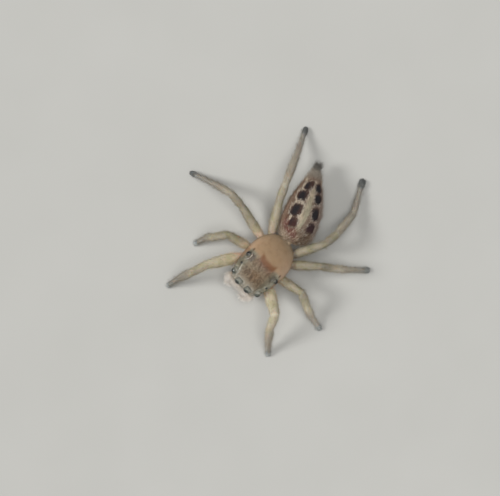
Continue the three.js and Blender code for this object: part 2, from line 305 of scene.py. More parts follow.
def lofted(stations, low, high, squareness, depth, rings, sides=72):
    """Points and faces of a body in its own axes, between two corners, depth inside the outline."""
    along, width, upper, lower = even_curve(stations, rings).T
    length, height, half = high[1] - low[1], high[2] - low[2], (high[0] - low[0]) / 2
    along = np.clip(low[1] + length * along, low[1] + depth, high[1] - depth)
    half_width = np.maximum(half * width - depth, 0.0)
    top = low[2] + height * upper - depth
    bottom = low[2] + height * lower + depth
    top, bottom = np.maximum(top, (top + bottom) / 2), np.minimum(bottom, (top + bottom) / 2)
    middle = bottom + MIDDLE_SHARE * (top - bottom)
    angle = round_angles(sides)
    across, upward = rounded(np.cos(angle), squareness), rounded(np.sin(angle), squareness)
    rise = np.where(upward[None, :] > 0, (top - middle)[:, None], (middle - bottom)[:, None])
    points = np.stack([
        (low[0] + high[0]) / 2 + half_width[:, None] * across[None, :],
        np.repeat(along[:, None], sides, axis=1),
        middle[:, None] + rise * upward[None, :],
    ], axis=2)
    return points.reshape(-1, 3), ring_faces(rings, sides)


def local_corners(axes, name):
    local = axes.to_local(node_points(name))
    return local.min(axis=0), local.max(axis=0)


def tube(path, radii, sides=18):
    """A closed tube through path, its radius given at each point. Returns points, faces and lie."""
    path, radii = np.asarray(path, float), np.asarray(radii, float)
    heading = unit(np.gradient(path, axis=0))
    side = unit(np.cross(heading, UP) + 1e-6)
    up = np.cross(side, heading)
    angle = round_angles(sides)[None, :, None]
    ring = side[:, None, :] * np.cos(angle) + up[:, None, :] * np.sin(angle)
    points = (path[:, None, :] + ring * radii[:, None, None]).reshape(-1, 3)
    return points, ring_faces(len(path), sides), np.repeat(heading, sides, axis=0)


# Each stretch of a leg: where it starts and ends along the whole leg for its markings,
# and its radius, as a share of its thickest, at its two ends and middle.
LEG_STRETCHES = (
    (0.00, 0.10, (0.95, 1.0, 0.9)),
    (0.10, 0.42, (0.72, 1.0, 0.74)),
    (0.42, 0.55, (0.84, 1.0, 0.86)),
    (0.55, 0.74, (0.84, 1.0, 0.82)),
    (0.74, 0.89, (0.95, 0.95, 0.84)),
    (0.89, 1.00, (0.95, 1.0, 0.8)),
)
METATARSUS_SHARE = 0.58  # of the foot node
# Radius in millimetres of coxa, femur, patella, tibia, metatarsus and tarsus, for legs 1 to 4.
LEG_RADII = (
    (0.28, 0.345, 0.255, 0.235, 0.165, 0.135),
    (0.27, 0.275, 0.245, 0.225, 0.155, 0.13),
    (0.27, 0.275, 0.235, 0.215, 0.155, 0.125),
    (0.28, 0.28, 0.245, 0.22, 0.16, 0.125),
)
TOE_HEIGHT = 0.12
CAP_OPENING = 0.15  # the angle at which a stretch's rounded end begins
CAP_LEAD = 0.55  # how far a rounded end reaches, in radii
SKIN_STEP = 0.05


def leg_places(side, number):
    """The points that divide a leg's skin: its joints, with the foot parted in two."""
    *joints, sole = leg_joints(side, number)
    toe = sole + [0, 0, TOE_HEIGHT]
    return [*joints, joints[-1] + (toe - joints[-1]) * METATARSUS_SHARE, toe]


def add_leg(flesh, side, number):
    places = leg_places(side, number)
    bend = np.linspace(CAP_OPENING, math.pi / 2, 5)[:-1, None]
    unbend = np.linspace(0, math.pi / 2 - CAP_OPENING, 5)[1:, None]
    cap = np.sin(bend[:, 0])
    for a, b, radius, (start, end, shares) in zip(places, places[1:], LEG_RADII[number - 1], LEG_STRETCHES):
        length = np.linalg.norm(b - a)
        steps = max(8, int(length / SKIN_STEP))
        first, thickest, last = shares
        profile = smooth_curve([first, thickest, thickest * 0.97, last], [0, 0.3, 0.6, 1], steps)
        lead = (b - a) / length * (radius * CAP_LEAD)
        line = a + (b - a) * np.linspace(0, 1, steps)[:, None]
        path = np.concatenate([a - lead * np.cos(bend), line, b + lead * np.sin(unbend)])
        radii = radius * np.concatenate([cap * profile[0], profile, cap[::-1] * profile[-1]])
        points, faces, lie = tube(path, radii)
        flesh.add(points, faces, LIMB, lie, (a, b, (start, end), (number - 1) * 2 + (side == "right")))


def add_bent_limb(flesh, path, radii, kind, count=40):
    """A short limb of the body or face along a smooth path."""
    width = even_curve(radii, count)
    width[[0, -1]] = 0.02
    points, faces, lie = tube(even_curve(path, count), width)
    flesh.add(points, faces, kind, lie)


def ellipsoid(centre, size, turn=0.0, rings=14, sides=20):
    polar, angle = np.linspace(0.05, math.pi - 0.05, rings), round_angles(sides)
    x, y, z = np.stack([
        np.outer(np.sin(polar), np.cos(angle)),
        np.outer(np.cos(polar), np.ones(sides)),
        np.outer(np.sin(polar), np.sin(angle)),
    ]).reshape(3, -1) * np.reshape(size, (3, 1))
    c, s = math.cos(turn), math.sin(turn)
    return np.stack([x * c - y * s, x * s + y * c, z], axis=1) + centre, ring_faces(rings, sides)


# Each eye: the way it looks, on the left side; the raised skin round it, as how far behind the lens
# its middle lies and its half sizes, in lens radii; its material and the tones of its middle and ring.
EYES = {
    "front_middle": ((0.05, -1.0, 0.04), 0.75, (0.98, 1.15, 0.98), "front_lens", (10, 10, 9), (84, 90, 82)),
    "front_side": ((0.50, -0.85, 0.10), 0.62, (1.15, 1.2, 1.1), "side_lens", (12, 12, 11), (88, 94, 86)),
    "rear_middle": ((0.75, -0.25, 0.60), 0.6, (1.3, 1.4, 1.1), "small_lens", (14, 13, 12), (30, 28, 26)),
    "rear_side": ((0.93, 0.10, 0.30), 0.55, (1.2, 1.35, 1.1), "rear_lens", (12, 12, 12), (66, 65, 60)),
}


def eye_facts(kind, side):
    """An eye's middle, radius and gaze."""
    low, high, centre = node_box(f"eye_{kind}_{side}")
    gaze = unit(np.array(EYES[kind][0]) * [SIDES[side], 1, 1])
    return centre, (high - low).max() / 2, gaze


def add_carapace(flesh):
    axes = carapace_axes()
    corners = local_corners(axes, "cephalothorax")
    points, faces = lofted(CARAPACE_STATIONS, *corners, squareness=2.5, depth=CARAPACE_COAT_DEPTH, rings=70)
    flesh.add(axes.to_frame(points), faces, CARAPACE, REARWARD)
    for kind, (_, back, swell, *_) in EYES.items():
        for side in SIDES:
            centre, radius, gaze = eye_facts(kind, side)
            points, faces = ellipsoid(centre - gaze * radius * back, np.array(swell) * radius)
            flesh.add(points, faces, CARAPACE, REARWARD)


def add_abdomen(flesh):
    axes = abdomen_axes()
    low, high = local_corners(axes, "abdomen")
    points, faces = lofted(ABDOMEN_STATIONS, low, high, squareness=2.1, depth=ABDOMEN_COAT_DEPTH, rings=90)
    flesh.add(axes.to_frame(points), faces, ABDOMEN, axes.along)
    # Four short spinnerets at the tip.
    tip_low, tip_high = local_corners(axes, "spinnerets")
    width = smooth_curve([0.02, 0.085, 0.08, 0.03], [0, 0.2, 0.7, 1], 14)
    for across in (-1, 1):
        for level in (-1, 1):
            x, z = across * 0.09, (tip_low[2] + tip_high[2]) / 2 + level * 0.08
            path = [(x * 0.8, high[1] - 0.2, z), (x, high[1] + 0.1, z), (x * 1.2, tip_high[1] - 0.03, z)]
            points, faces, lie = tube(axes.to_frame(even_curve(path, 14)), width)
            flesh.add(points, faces, ABDOMEN, lie)


def add_waist_and_sternum(flesh):
    centre = node_box("pedicel")[2]
    path = [centre - [0.05, 0.45, 0.05], centre, centre + [0.06, 0.45, 0.05]]
    add_bent_limb(flesh, path, [0.2, 0.15, 0.2], CARAPACE)
    low, high, centre = node_box("sternum")
    plate = np.array([centre[0], low[1] + 0.62 * (high[1] - low[1]), centre[2] + 0.06])
    points, faces = ellipsoid(plate, [0.56, 1.15, 0.24], rings=24, sides=32)
    flesh.add(points, faces, CARAPACE, REARWARD)
    for mirror in SIDES.values():
        lobe = [mirror * 0.22 + plate[0], low[1] + 0.36, plate[2] - 0.08]
        points, faces = ellipsoid(lobe, [0.15, 0.32, 0.13], turn=mirror * 0.2)
        flesh.add(points, faces, FACE, [0, -1, -0.3])


def add_jaws_and_palps(flesh):
    for side, mirror in SIDES.items():
        low, high, (x, y, z) = node_box(f"chelicera_{side}")
        path = [[x, y + 0.14, high[2] + 0.25], [x, y - 0.02, z], [x - mirror * 0.03, y, low[2] + 0.05]]
        add_bent_limb(flesh, path, [0.2, 0.29, 0.32, 0.3, 0.24, 0.16], FACE)
        add_bent_limb(flesh, palp_path(side), [0.09, 0.12, 0.125, 0.12, 0.13, 0.145, 0.14, 0.09], FACE)


def palp_path(side):
    """The palp's line, through the middle of its solid from its root to its tip."""
    points = node_points(f"palp_{side}")
    low, high = points.min(axis=0), points.max(axis=0)
    front = points[points[:, 1] < low[1] + 0.42]
    tip = front[front[:, 2] < front[:, 2].min() + 0.12].mean(axis=0)
    root = points[points[:, 1] > high[1] - 0.25].mean(axis=0)
    outward = np.sign(tip[0] - carapace_axes().origin[0])
    x_out = (high[0] - 0.2) if outward > 0 else (low[0] + 0.2)
    knee = np.array([x_out, low[1] + 0.38, high[2] - 0.21])
    thigh = np.array([x_out - outward * 0.02, (root[1] + knee[1]) / 2, high[2] - 0.27])
    wrist = np.array([(x_out + tip[0]) / 2, low[1] + 0.22, (high[2] + low[2]) / 2 + 0.08])
    return [root, thigh, knee, wrist, tip + [0, 0, 0.04]]


def limb_facts(co, owners, stretches):
    """For points on legs: their place (share of its length, dorsal side from -1 to 1, leg), turn and leg."""
    start, end, shares, leg = (np.array(facts)[owners] for facts in zip(*stretches))
    length = np.linalg.norm(end - start, axis=1)
    heading = (end - start) / length[:, None]
    along = ((co - start) * heading).sum(axis=1)
    out = unit(co - start - heading * along[:, None])
    side = unit(np.cross(heading, UP))
    dorsal = (out * np.cross(side, heading)).sum(axis=1)
    lateral = (out * side).sum(axis=1)
    share = shares[:, 0] + (shares[:, 1] - shares[:, 0]) * np.clip(along / length, 0, 1)
    turn = np.arctan2(dorsal, lateral) / FULL_TURN % 1
    return np.stack([share, dorsal, leg], axis=1), turn, leg


def joined_by_voxels(points, faces):
    """One closed smooth surface over closed shapes that overlap."""
    rough = bpy.data.meshes.new("rough_flesh")
    rough.from_pydata(points.tolist(), [], faces.tolist())
    holder = linked("rough_flesh", rough)
    remesh = holder.modifiers.new("join", "REMESH")
    remesh.mode = "VOXEL"
    remesh.voxel_size = SKIN_VOXEL
    soften = holder.modifiers.new("soften", "SMOOTH")
    soften.factor = 0.5
    soften.iterations = SKIN_SMOOTHING
    evaluated = holder.evaluated_get(bpy.context.evaluated_depsgraph_get())
    mesh = bpy.data.meshes.new_from_object(evaluated)
    bpy.data.objects.remove(holder)
    mesh.name = "spider_skin"
    return mesh


BODY_MIDDLE_HEIGHT = 1.7  # the level that turns round the body are measured from


def build_skin_mesh():
    """The spider's skin as a mesh, and the same with its facts, ready for planting."""
    flesh = Flesh()
    add_carapace(flesh)
    add_abdomen(flesh)
    add_waist_and_sternum(flesh)
    add_jaws_and_palps(flesh)
    for side, number in LEGS:
        add_leg(flesh, side, number)
    points, faces, kinds, lies, owners = flesh.joined()
    mesh = joined_by_voxels(points, faces)

    co = read_rows(mesh.vertices, "co")
    nearest = nearest_of(points, co)
    kinds, lies, owners = kinds[nearest], lies[nearest], owners[nearest]
    places, turn, legs = np.zeros_like(co), np.zeros(len(co)), np.full(len(co), -1)
    for kind, axes in ((ABDOMEN, abdomen_axes()), (CARAPACE, carapace_axes()), (FACE, carapace_axes())):
        chosen = kinds == kind
        places[chosen] = axes.to_local(co[chosen])
        level = places[chosen][:, 2] - BODY_MIDDLE_HEIGHT
        turn[chosen] = np.arctan2(level, places[chosen][:, 0]) / FULL_TURN % 1
    chosen = kinds == LIMB
    places[chosen], turn[chosen], legs[chosen] = limb_facts(co[chosen], owners[chosen], flesh.stretches)

    mesh.vertices.foreach_set("co", (co * MM).astype(np.float32).ravel())
    mesh.polygons.foreach_set("use_smooth", np.ones(len(mesh.polygons), dtype=bool))
    mesh.update()
    set_point_values(mesh, "place", places)
    set_point_values(mesh, "root", co)
    set_part_values(mesh, kinds)
    return mesh, Skin(mesh, place=places, kind=kinds, lie=lies, around=turn, leg=legs)


# ---------------- colours and nodes

def paint(*tone):
    """A colour mixed on the usual 0 to 255 scale, as the shaders take it."""
    shares = [value / 255 for value in tone]
    return (*(s / 12.92 if s <= 0.04045 else ((s + 0.055) / 1.055) ** 2.4 for s in shares), 1.0)


def as_colour(tone):
    """Three numbers are a tone on the 0 to 255 scale. Anything else is a colour already."""
    return paint(*tone) if isinstance(tone, tuple) and len(tone) == 3 else tone


def worked(operation):
    """A method that works a value out with others in one maths node."""
    return lambda *values: values[0].graph.math(operation, *values)


class Value:
    """What a node gives out. Working with it adds nodes to its graph."""

    def __init__(self, graph, socket):
        self.graph, self.socket = graph, socket

    __add__ = worked("ADD")
    __sub__ = worked("SUBTRACT")
    __mul__ = worked("MULTIPLY")
    __truediv__ = worked("DIVIDE")
    __pow__ = worked("POWER")
    __abs__ = worked("ABSOLUTE")
    least = worked("MINIMUM")
    most = worked("MAXIMUM")

    def __rsub__(self, other):
        return self.graph.math("SUBTRACT", other, self)

    def step(self, low, high):
        """0 below low and 1 above high, smooth between; reversed where low is above high."""
        inputs = {"Value": self, "From Min": low, "From Max": high}
        return self.graph.add("ShaderNodeMapRange", inputs, interpolation_type="SMOOTHSTEP")

    def spread(self, low, high, to_low, to_high):
        """Runs straight from to_low, at low and below, to to_high, at high and above."""
        inputs = {"Value": self, "From Min": low, "From Max": high, "To Min": to_low, "To Max": to_high}
        return self.graph.add("ShaderNodeMapRange", inputs)

    def by_side(self, right, left):
        """One number on the right of the middle line and another on the left."""
        return self.spread(-0.2, 0.2, right, left)

    def painted(self, tone, share=1.0, blend="MIX"):
        """This colour with a tone laid over it, by a share."""
        return self.graph.mix(share, self, tone, blend)


class Graph:
    """Adds nodes to one tree and wires them."""

    def __init__(self, tree, material=None):
        self.tree, self.material = tree, material

    def feed(self, socket, value):
        if isinstance(value, Value):
            self.tree.links.new(value.socket, socket)
        else:
            socket.default_value = value

    def add(self, kind, inputs=(), output=0, **settings):
        """Adds a node with inputs fed by name or number. Returns one of its outputs."""
        node = self.tree.nodes.new(kind)
        for key, value in settings.items():
            setattr(node, key, value)
        for key, value in dict(inputs).items():
            self.feed(node.inputs[key], value)
        return Value(self, node.outputs[output])

    def math(self, operation, *values):
        return self.add("ShaderNodeMath", enumerate(values), operation=operation)

    def mix(self, share, a, b, blend="MIX"):
        inputs = {0: share, 6: as_colour(a), 7: as_colour(b)}
        return self.add("ShaderNodeMix", inputs, 2, data_type="RGBA", blend_type=blend)

    def attribute(self, name, output="Fac"):
        return self.add("ShaderNodeAttribute", output=output, attribute_name=name)

    def parts(self, vector):
        node = self.add("ShaderNodeSeparateXYZ", {0: vector}).socket.node
        return [Value(self, output) for output in node.outputs]

    def noise(self, vector, scale, detail=3.0, roughness=0.55, stretch=None):
        if stretch is not None:
            vector = self.add("ShaderNodeVectorMath", {0: vector, 1: stretch}, operation="MULTIPLY")
        inputs = {"Vector": vector, "Scale": scale, "Detail": detail, "Roughness": roughness}
        return self.add("ShaderNodeTexNoise", inputs, "Fac")

    def ramp(self, value, stops, interpolation="LINEAR"):
        colour = self.add("ShaderNodeValToRGB", {0: value})
        ramp = colour.socket.node.color_ramp
        ramp.interpolation = interpolation
        while len(ramp.elements) < len(stops):
            ramp.elements.new(0.5)
        for element, (position, tone) in zip(ramp.elements, stops):
            element.position = position
            element.color = as_colour(tone)
        return colour

    def shade(self, sockets):
        """Feeds sockets of the material's own shader. Returns the material."""
        shader = self.tree.nodes["Principled BSDF"]
        for name, value in sockets.items():
            self.feed(shader.inputs[name], value)
        return self.material


def oval(x, y, centre, size, power=2.0):
    """How far out of an oval a point is, as a share of the oval's size. For values or arrays."""
    far_x = abs((x - centre[0]) / size[0])
    far_y = abs((y - centre[1]) / size[1])
    return (far_x**power + far_y**power) ** (1 / power)


# Dark spots on the abdomen in millimetres: across from its middle line, along from its waist,
# half width, half length, and how far its rear end leans inward over its length.
SPOTS = (
    (-0.50, 1.12, 0.25, 0.36, 0.0),
    (-0.54, 1.92, 0.30, 0.40, 0.07),
    (-0.45, 2.87, 0.29, 0.33, 0.13),
    (-0.24, 3.56, 0.25, 0.30, 0.35),
    (0.58, 1.08, 0.24, 0.40, 0.0),
    (0.57, 1.99, 0.25, 0.42, 0.15),
    (0.47, 2.92, 0.24, 0.33, 0.14),
    (0.34, 3.56, 0.23, 0.28, 0.25),
)
SPOT_SLANT = 0.15
SPOT_SQUARENESS = 3.0


def lesser(a, b):
    return a.least(b) if isinstance(a, Value) else np.minimum(a, b)


def spot_distance(across, along):
    """How far out of the nearest spot: 0 at its middle, 1 at its edge. For values or arrays."""
    distances = []
    slanted = along - across * SPOT_SLANT
    for a, s, half_width, half_length, lean in SPOTS:
        shear = math.copysign(lean, a)
        centre, size = (a + s * shear, s - a * SPOT_SLANT), (half_width, half_length)
        distances.append(oval(across + along * shear, slanted, centre, size, SPOT_SQUARENESS))
    return reduce(lesser, distances)


CREAM = (230, 214, 190)
OUTER_FLANK = (180, 153, 132)
SHADED_FLANK = (178, 160, 148)


def abdomen_colour(graph, place):
    across, along, height = graph.parts(place)
    wobble = graph.noise(place, 5.0, stretch=(1.0, 0.45, 1.0))
    streaks = graph.noise(place, 1.0, 4.0, 0.6, stretch=(13.0, 1.6, 4.0))
    loose = (wobble - 0.5) * 0.30
    across_loose = across + loose * 0.5
    on_top = height.step(1.85, 2.15)
    on_left = across.step(0.1, 0.35)

    # Flanks: brown with pale and reddish streaks, greyed on the left by painted shade, paler below.
    colour = graph.mix(streaks.step(0.42, 0.62), (119, 88, 70), (154, 127, 105))
    colour = colour.painted(OUTER_FLANK, along.step(2.0, 2.5) * 0.55)
    colour = colour.painted((132, 78, 58), streaks.step(0.5, 0.38) * wobble.step(0.42, 0.6) * 0.65)
    colour = colour.painted(OUTER_FLANK, across.step(-0.78, -1.08) * 0.85)
    colour = colour.painted(SHADED_FLANK, across.step(0.2, 0.8) * 0.9)
    colour = colour.painted((172, 160, 138), height.step(1.85, 1.1))

    # Pale outer line along each row of spots, broken into short streaks.
    off_line = abs(abs(across_loose) - along.spread(0.6, 4.2, 0.90, 0.44))
    line = off_line.step(0.07, 0.02) * streaks.step(0.40, 0.54)
    colour = colour.painted(CREAM, line * across.by_side(0.9, 0.35))

    # Pale band down the middle, narrowing to the rear, on duller ground.
    band_middle = 0.045 - (3.8 - along).most(0.0) ** 2.0 * 0.022
    off_band = across_loose - band_middle
    band_half = along.spread(0.6, 1.9, 0.07, 0.27).least(along.spread(1.7, 3.7, 0.27, 0.05))
    band_out = abs(off_band) - band_half
    ground = band_out.step(0.40, 0.30) * along.step(0.7, 1.1) * on_top * along.step(4.1, 3.7)
    colour = colour.painted(graph.mix(streaks.step(0.38, 0.6), (138, 112, 98), (170, 150, 132)), ground)
    band = band_out.step(0.07, -0.05) * along.step(0.62, 1.05) * along.step(4.0, 3.6) * on_top
    greenish = off_band.step(-0.10, 0.02) * wobble.step(0.34, 0.5) * along.step(2.8, 2.3)
    band_tone = graph.mix(streaks.step(0.42, 0.62), (188, 177, 152), CREAM)
    colour = colour.painted(band_tone.painted((204, 200, 175), greenish * 0.55), band)

    # Two rows of dark spots, each set off by a thin pale line: cream on the right, duller on the left.
    out = spot_distance(across, along) + (loose * 1.1 + (streaks - 0.5) * 0.55)
    ring = out.step(1.30, 1.19) * out.step(1.03, 1.12) * streaks.step(0.34, 0.46)
    ring = ring * on_left.spread(0.0, 1.0, 1.0, 0.6) * on_top
    colour = colour.painted(graph.mix(on_left, (240, 227, 206), (186, 166, 152)), ring)
    tone = graph.mix(out.step(0.6, 1.0), (60, 57, 61), (96, 72, 66))
    inner = (off_band - along * 0.06).step(-0.62, -0.42) * off_band.step(0.2, 0.0)
    tone = tone.painted((112, 84, 74), inner * 0.75)
    tone = tone.painted((92, 56, 54), along.step(1.6, 1.1) * (along - across).step(2.2, 1.4) * 0.6)
    tone = tone.painted((82, 62, 64), on_left * along.step(1.75, 1.3) * 0.7)
    colour = colour.painted(tone, out.step(1.14, 0.90) * on_top)

    # Brown shoulder with slanting cream streaks, and dark red ones before the first right spot.
    slanting = graph.add("ShaderNodeCombineXYZ", {0: (across - along * 0.5) * 9.0, 1: along * 0.9})
    stripes = graph.noise(slanting, 1.0, 1.0, 0.4)
    tone = graph.mix(stripes.step(0.54, 0.62), (136, 113, 92), (214, 193, 168))
    tone = tone.painted(CREAM, 0.3).painted(tone, across.step(-0.35, 0.0))
    tone = tone.painted((110, 90, 74), across.step(0.02, 0.18) * across.step(0.60, 0.42) * 0.6)
    # Painted shade greys the shoulder's left side.
    tone = tone.painted(SHADED_FLANK, across.step(0.6, 0.85) * 0.6)
    colour = colour.painted(tone, along.step(1.0, 0.7) * height.step(1.4, 1.8) * 0.9)
    red = oval(across + along * 0.7, along, (0.0, 0.76), (0.30, 0.50)).step(1.15, 0.8)
    red = red * stripes.step(0.70, 0.60) * out.step(0.9, 1.1)
    colour = colour.painted((132, 68, 60), red * on_top * 0.85)
    blush = along.step(1.55, 1.1) * streaks.step(0.6, 0.4) * across.step(-0.63, -0.88)
    colour = colour.painted((126, 84, 68), blush * 0.5)

    # Grey tip.
    colour = colour.painted((180, 170, 156), along.step(3.85, 4.4))
    return colour.painted((118, 114, 108), along.step(4.55, 4.8))


# Lines along the eye field's sides: across at its front edge, half width, strength on the right
# and on the left, and tone.
SIDE_LINES = (
    (0.61, 0.035, 0.35, 0.60, (92, 84, 72)),
    (0.735, 0.028, 0.62, 0.22, (212, 205, 190)),
    (0.81, 0.036, 0.70, 0.15, (82, 76, 64)),
)
# Blocks round the eyes in millimetres, for one side: across and along, half width and half length,
# how strong the left one is, how strong the pale line about them is, and their tones at the
# middle and edge.
EYE_BLOCKS = (
    ((0.38, -0.02), (0.25, 0.19), 1.0, 0.6, (146, 146, 136), (112, 111, 101)),
    ((1.00, 0.22), (0.20, 0.26), 1.0, 0.5, (178, 176, 163), (140, 138, 124)),
    ((0.90, 1.48), (0.20, 0.26), 0.2, 0.0, (124, 113, 100), (122, 111, 98)),
)
EYE_FIELD_END = 1.78
BAR_MIDDLE = (0.05, 1.84)  # across and along, where the red bar is foremost
HEAD_FRONT = 0.16  # from the solid's front to where the head's markings are measured from


def carapace_colour(graph, place):
    across, along_box, height = graph.parts(place)
    along = along_box - HEAD_FRONT
    off_middle = abs(across)
    on_head_top = height.step(1.9, 2.1)
    mottle = graph.noise(place, 3.2)
    speckle = graph.noise(place, 9.0, 4.0, 0.65)

    # Smooth tan back with a pinkish edge and paler, see-through sides.
    back = ((0.0, (156, 129, 100)), (0.45, (166, 139, 109)), (1.0, (168, 145, 117)))
    colour = graph.ramp(along.spread(1.7, 3.8, 0.0, 1.0), back)
    colour = colour.painted((140, 112, 84), mottle.step(0.45, 0.7) * 0.35)
    colour = colour.painted((180, 150, 122), off_middle.step(1.0, 1.36) * 0.7)
    # Painted light: the left side is paler, where the lamps light it less.
    colour = colour.painted((196, 168, 142), across.spread(0.5, 1.25, 0.0, 0.6))
    colour = colour.painted((178, 160, 134), height.step(2.1, 1.45))

    # Square eye field, grey-brown, with a speckled brown middle and light olive-grey sides.
    off_bar = abs(across - BAR_MIDDLE[0])
    bow = off_bar**3.0 * 0.9
    field = (along - (bow.least(0.12) + EYE_FIELD_END)).step(0.14, -0.10) * on_head_top
    field = field * (1.0 - off_middle.step(1.20, 1.30) * along.step(0.9, 1.2))
    centre = graph.mix(speckle.step(0.42, 0.60), (146, 130, 106), (124, 104, 82))
    brown = oval(across, along, (0.05, 0.85), (0.46, 0.42)).step(1.2, 0.3)
    centre = centre.painted((134, 106, 78), brown * 0.65)
    centre = centre.painted((134, 103, 82), along.step(1.2, 1.7) * off_bar.step(0.75, 0.4) * 0.7)
    streaked = graph.noise(place, 1.0, 2.0, 0.5, stretch=(12.0, 2.4, 2.0))
    dashes = streaked.step(0.42, 0.54) * along.step(0.40, 0.52) * along.step(1.0, 0.74)
    centre = centre.painted((82, 64, 48), dashes * off_middle.step(0.95, 0.75) * 0.60)
    centre = centre.painted((157, 147, 131), along.step(0.55, 0.10))
    inner_side = graph.mix(speckle, (146, 132, 110), (130, 116, 96))
    outer_side = graph.mix(speckle, (162, 155, 134), (142, 136, 117))
    side = inner_side.painted(outer_side, off_middle.step(0.80, 0.95))
    # On the left the sides are a darker olive, partly painted shade, and paler along their outer strip.
    side = side.painted((124, 117, 99), across.spread(0.3, 0.6, 0.0, 0.6) * off_middle.step(1.0, 0.85))
    side = side.painted((184, 178, 158), across.spread(0.9, 1.1, 0.0, 0.5))
    side = side.painted((112, 106, 90), across.spread(-0.85, -1.0, 0.0, 0.6) * along.step(0.55, 0.75))
    centre = centre.painted(side, off_middle.step(0.56, 0.80) * along.step(0.0, 0.4))
    colour = colour.painted(centre, field)

    # Blocks of darker skin round the eyes, some with a pale line about them.
    for middle, half, left_share, line_share, tone, edge in EYE_BLOCKS:
        out = oval(off_middle, along, middle, half, power=4.0)
        block = out.step(1.08, 0.85) * on_head_top * across.by_side(1.0, left_share)
        colour = colour.painted(graph.mix(out.step(0.2, 0.95), tone, edge), block)
        line = out.step(1.34, 1.22) * out.step(1.0, 1.10) * on_head_top
        colour = colour.painted((186, 180, 164), line * line_share)

    # A cream line with a thin dark one on each side of it, along each side of the eye field.
    between = along.step(0.05, 0.2) * along.step(1.04, 0.80) * on_head_top
    outward = off_middle - along * 0.30
    for where, half, right, left, tone in SIDE_LINES:
        line = abs(outward - where).step(half, half * 0.4) * between * across.by_side(right, left)
        colour = colour.painted(tone, line * speckle.spread(0.36, 0.52, 0.35, 1.0))
    mark = oval(off_middle, along, (1.13, 1.93), (0.06, 0.13)).step(1.2, 0.5)
    colour = colour.painted((98, 76, 56), mark * 0.8)

    # Painted shade on the raised skin inside the left rear eye, darkening the slope that the lamps light.
    left_mound_shade = oval(across, along, (0.96, 1.45), (0.17, 0.30)).step(1.2, 0.4)
    colour = colour.painted((80, 74, 62), left_mound_shade * 0.85)

    # Orange-red bar behind the eyes, bowed forward in its middle.
    bar = along - (bow + BAR_MIDDLE[1]) + (mottle - 0.5) * 0.15
    bar = bar.step(0.34, 0.05) * bar.step(-0.30, -0.04) * off_bar.step(0.69, 0.47)
    colour = colour.painted((119, 77, 47), bar * 0.9)

    # A cream crescent along the inner side of each rear eye.
    out = oval(off_middle, along, (1.22, 1.46), (0.25, 0.36))
    crescent = out.step(0.92, 0.99) * out.step(1.14, 1.06) * off_middle.step(1.12, 1.02)
    return colour.painted((232, 224, 208), crescent * across.by_side(1.0, 0.1))


def face_colour(graph, place):
    height = graph.parts(place)[2]
    colour = graph.mix(graph.noise(place, 6.0).step(0.35, 0.7), (236, 223, 208), (226, 210, 194))
    return colour.painted((168, 138, 114), height.step(0.95, 0.65))


# Painted light and shade on each leg's base, inner half and outer half, as the body's shadow and the lamps
# fall on it, and its foot's grey: legs 1 to 4, left then right.
LEG_LIGHT_AND_SHADE = (
    (1.30, 1.10, 0.98, 212), (1.12, 1.08, 0.74, 206),
    (1.10, 0.71, 1.36, 202), (1.20, 0.81, 0.85, 212),
    (0.80, 0.57, 1.20, 182), (1.05, 0.66, 0.80, 132),
    (0.56, 0.62, 0.90, 130), (0.76, 0.78, 0.90, 130),
)
FOOT_TINT = (0.985, 1.0, 0.985)


def leg_ramps(graph, leg):
    """Four colours that differ from leg to leg: three factors of painted light and shade, and the foot's
    tone.
    """
    for column, values in enumerate(zip(*LEG_LIGHT_AND_SHADE)):
        tones = [(value, value, value, 1.0) for value in values]
        if column == 3:
            tones = [tuple(value * tint for tint in FOOT_TINT) for value in values]
        stops = [((number - 0.5) / len(tones), tone) for number, tone in enumerate(tones)]
        yield graph.ramp(leg / float(len(tones)), stops, "CONSTANT")


def limb_colour(graph, place, root):
    share, dorsal, leg = graph.parts(place)
    mottle = graph.noise(root, 1.7)
    fine = graph.noise(root, 6.5, 4.0, 0.6)
    # The bases are pale pinkish: partly their own colour, partly painted light where the body's shadow
    # falls.
    colour = graph.ramp(share, (
        (0.0, (204, 172, 146)), (0.11, (218, 192, 170)), (0.20, (209, 196, 171)), (0.30, (202, 192, 169)),
        (0.52, (192, 183, 164)), (0.76, (183, 176, 162)), (0.90, (174, 169, 159)), (0.95, (158, 157, 151)),
    ))
    # Olive stain on the inner half, pinkish grey on the tibiae, and a thin broken dark line.
    colour = colour.painted((172, 168, 126), mottle.step(0.48, 0.62) * share.step(0.7, 0.45) * 0.50)
    pink = mottle.step(0.52, 0.36) * share.step(0.53, 0.6) * share.step(0.9, 0.8)
    colour = colour.painted((178, 160, 147), pink * 0.28)
    # Painted light: paler along each side of a leg.
    colour = colour.painted((212, 202, 184), abs(dorsal + 0.1).step(0.45, 0.15) * 0.45)
    line = abs(dorsal - 0.45).step(0.16, 0.05) * share.step(0.20, 0.34) * fine.step(0.5, 0.62)
    colour = colour.painted((136, 124, 100), line * 0.55)
    colour = colour.painted((146, 132, 108), fine.step(0.54, 0.68) * 0.45)

    # Painted light and shade, different on each leg, at its base and in its inner and outer half.
    base, inner, outer, foot = leg_ramps(graph, leg)
    shade = base.painted(inner, share.step(0.13, 0.27)).painted(outer, share.step(0.42, 0.60))
    return colour.painted(shade, blend="MULTIPLY").painted(foot, share.step(0.925, 0.975))


def shared_group(name, inputs, output, kind, worked_out):
    """A shader node group with named sockets. A function works its output out from its inputs."""
    tree = bpy.data.node_groups.new(name, "ShaderNodeTree")
    for label in inputs:
        tree.interface.new_socket(name=label, in_out="INPUT", socket_type="NodeSocketFloat")
    tree.interface.new_socket(name=output, in_out="OUTPUT", socket_type=kind)
    graph = Graph(tree)
    entry = tree.nodes.new("NodeGroupInput")
    given = [Value(graph, entry.outputs[label]) for label in inputs]
    graph.feed(tree.nodes.new("NodeGroupOutput").inputs[output], worked_out(graph, *given))
    return tree


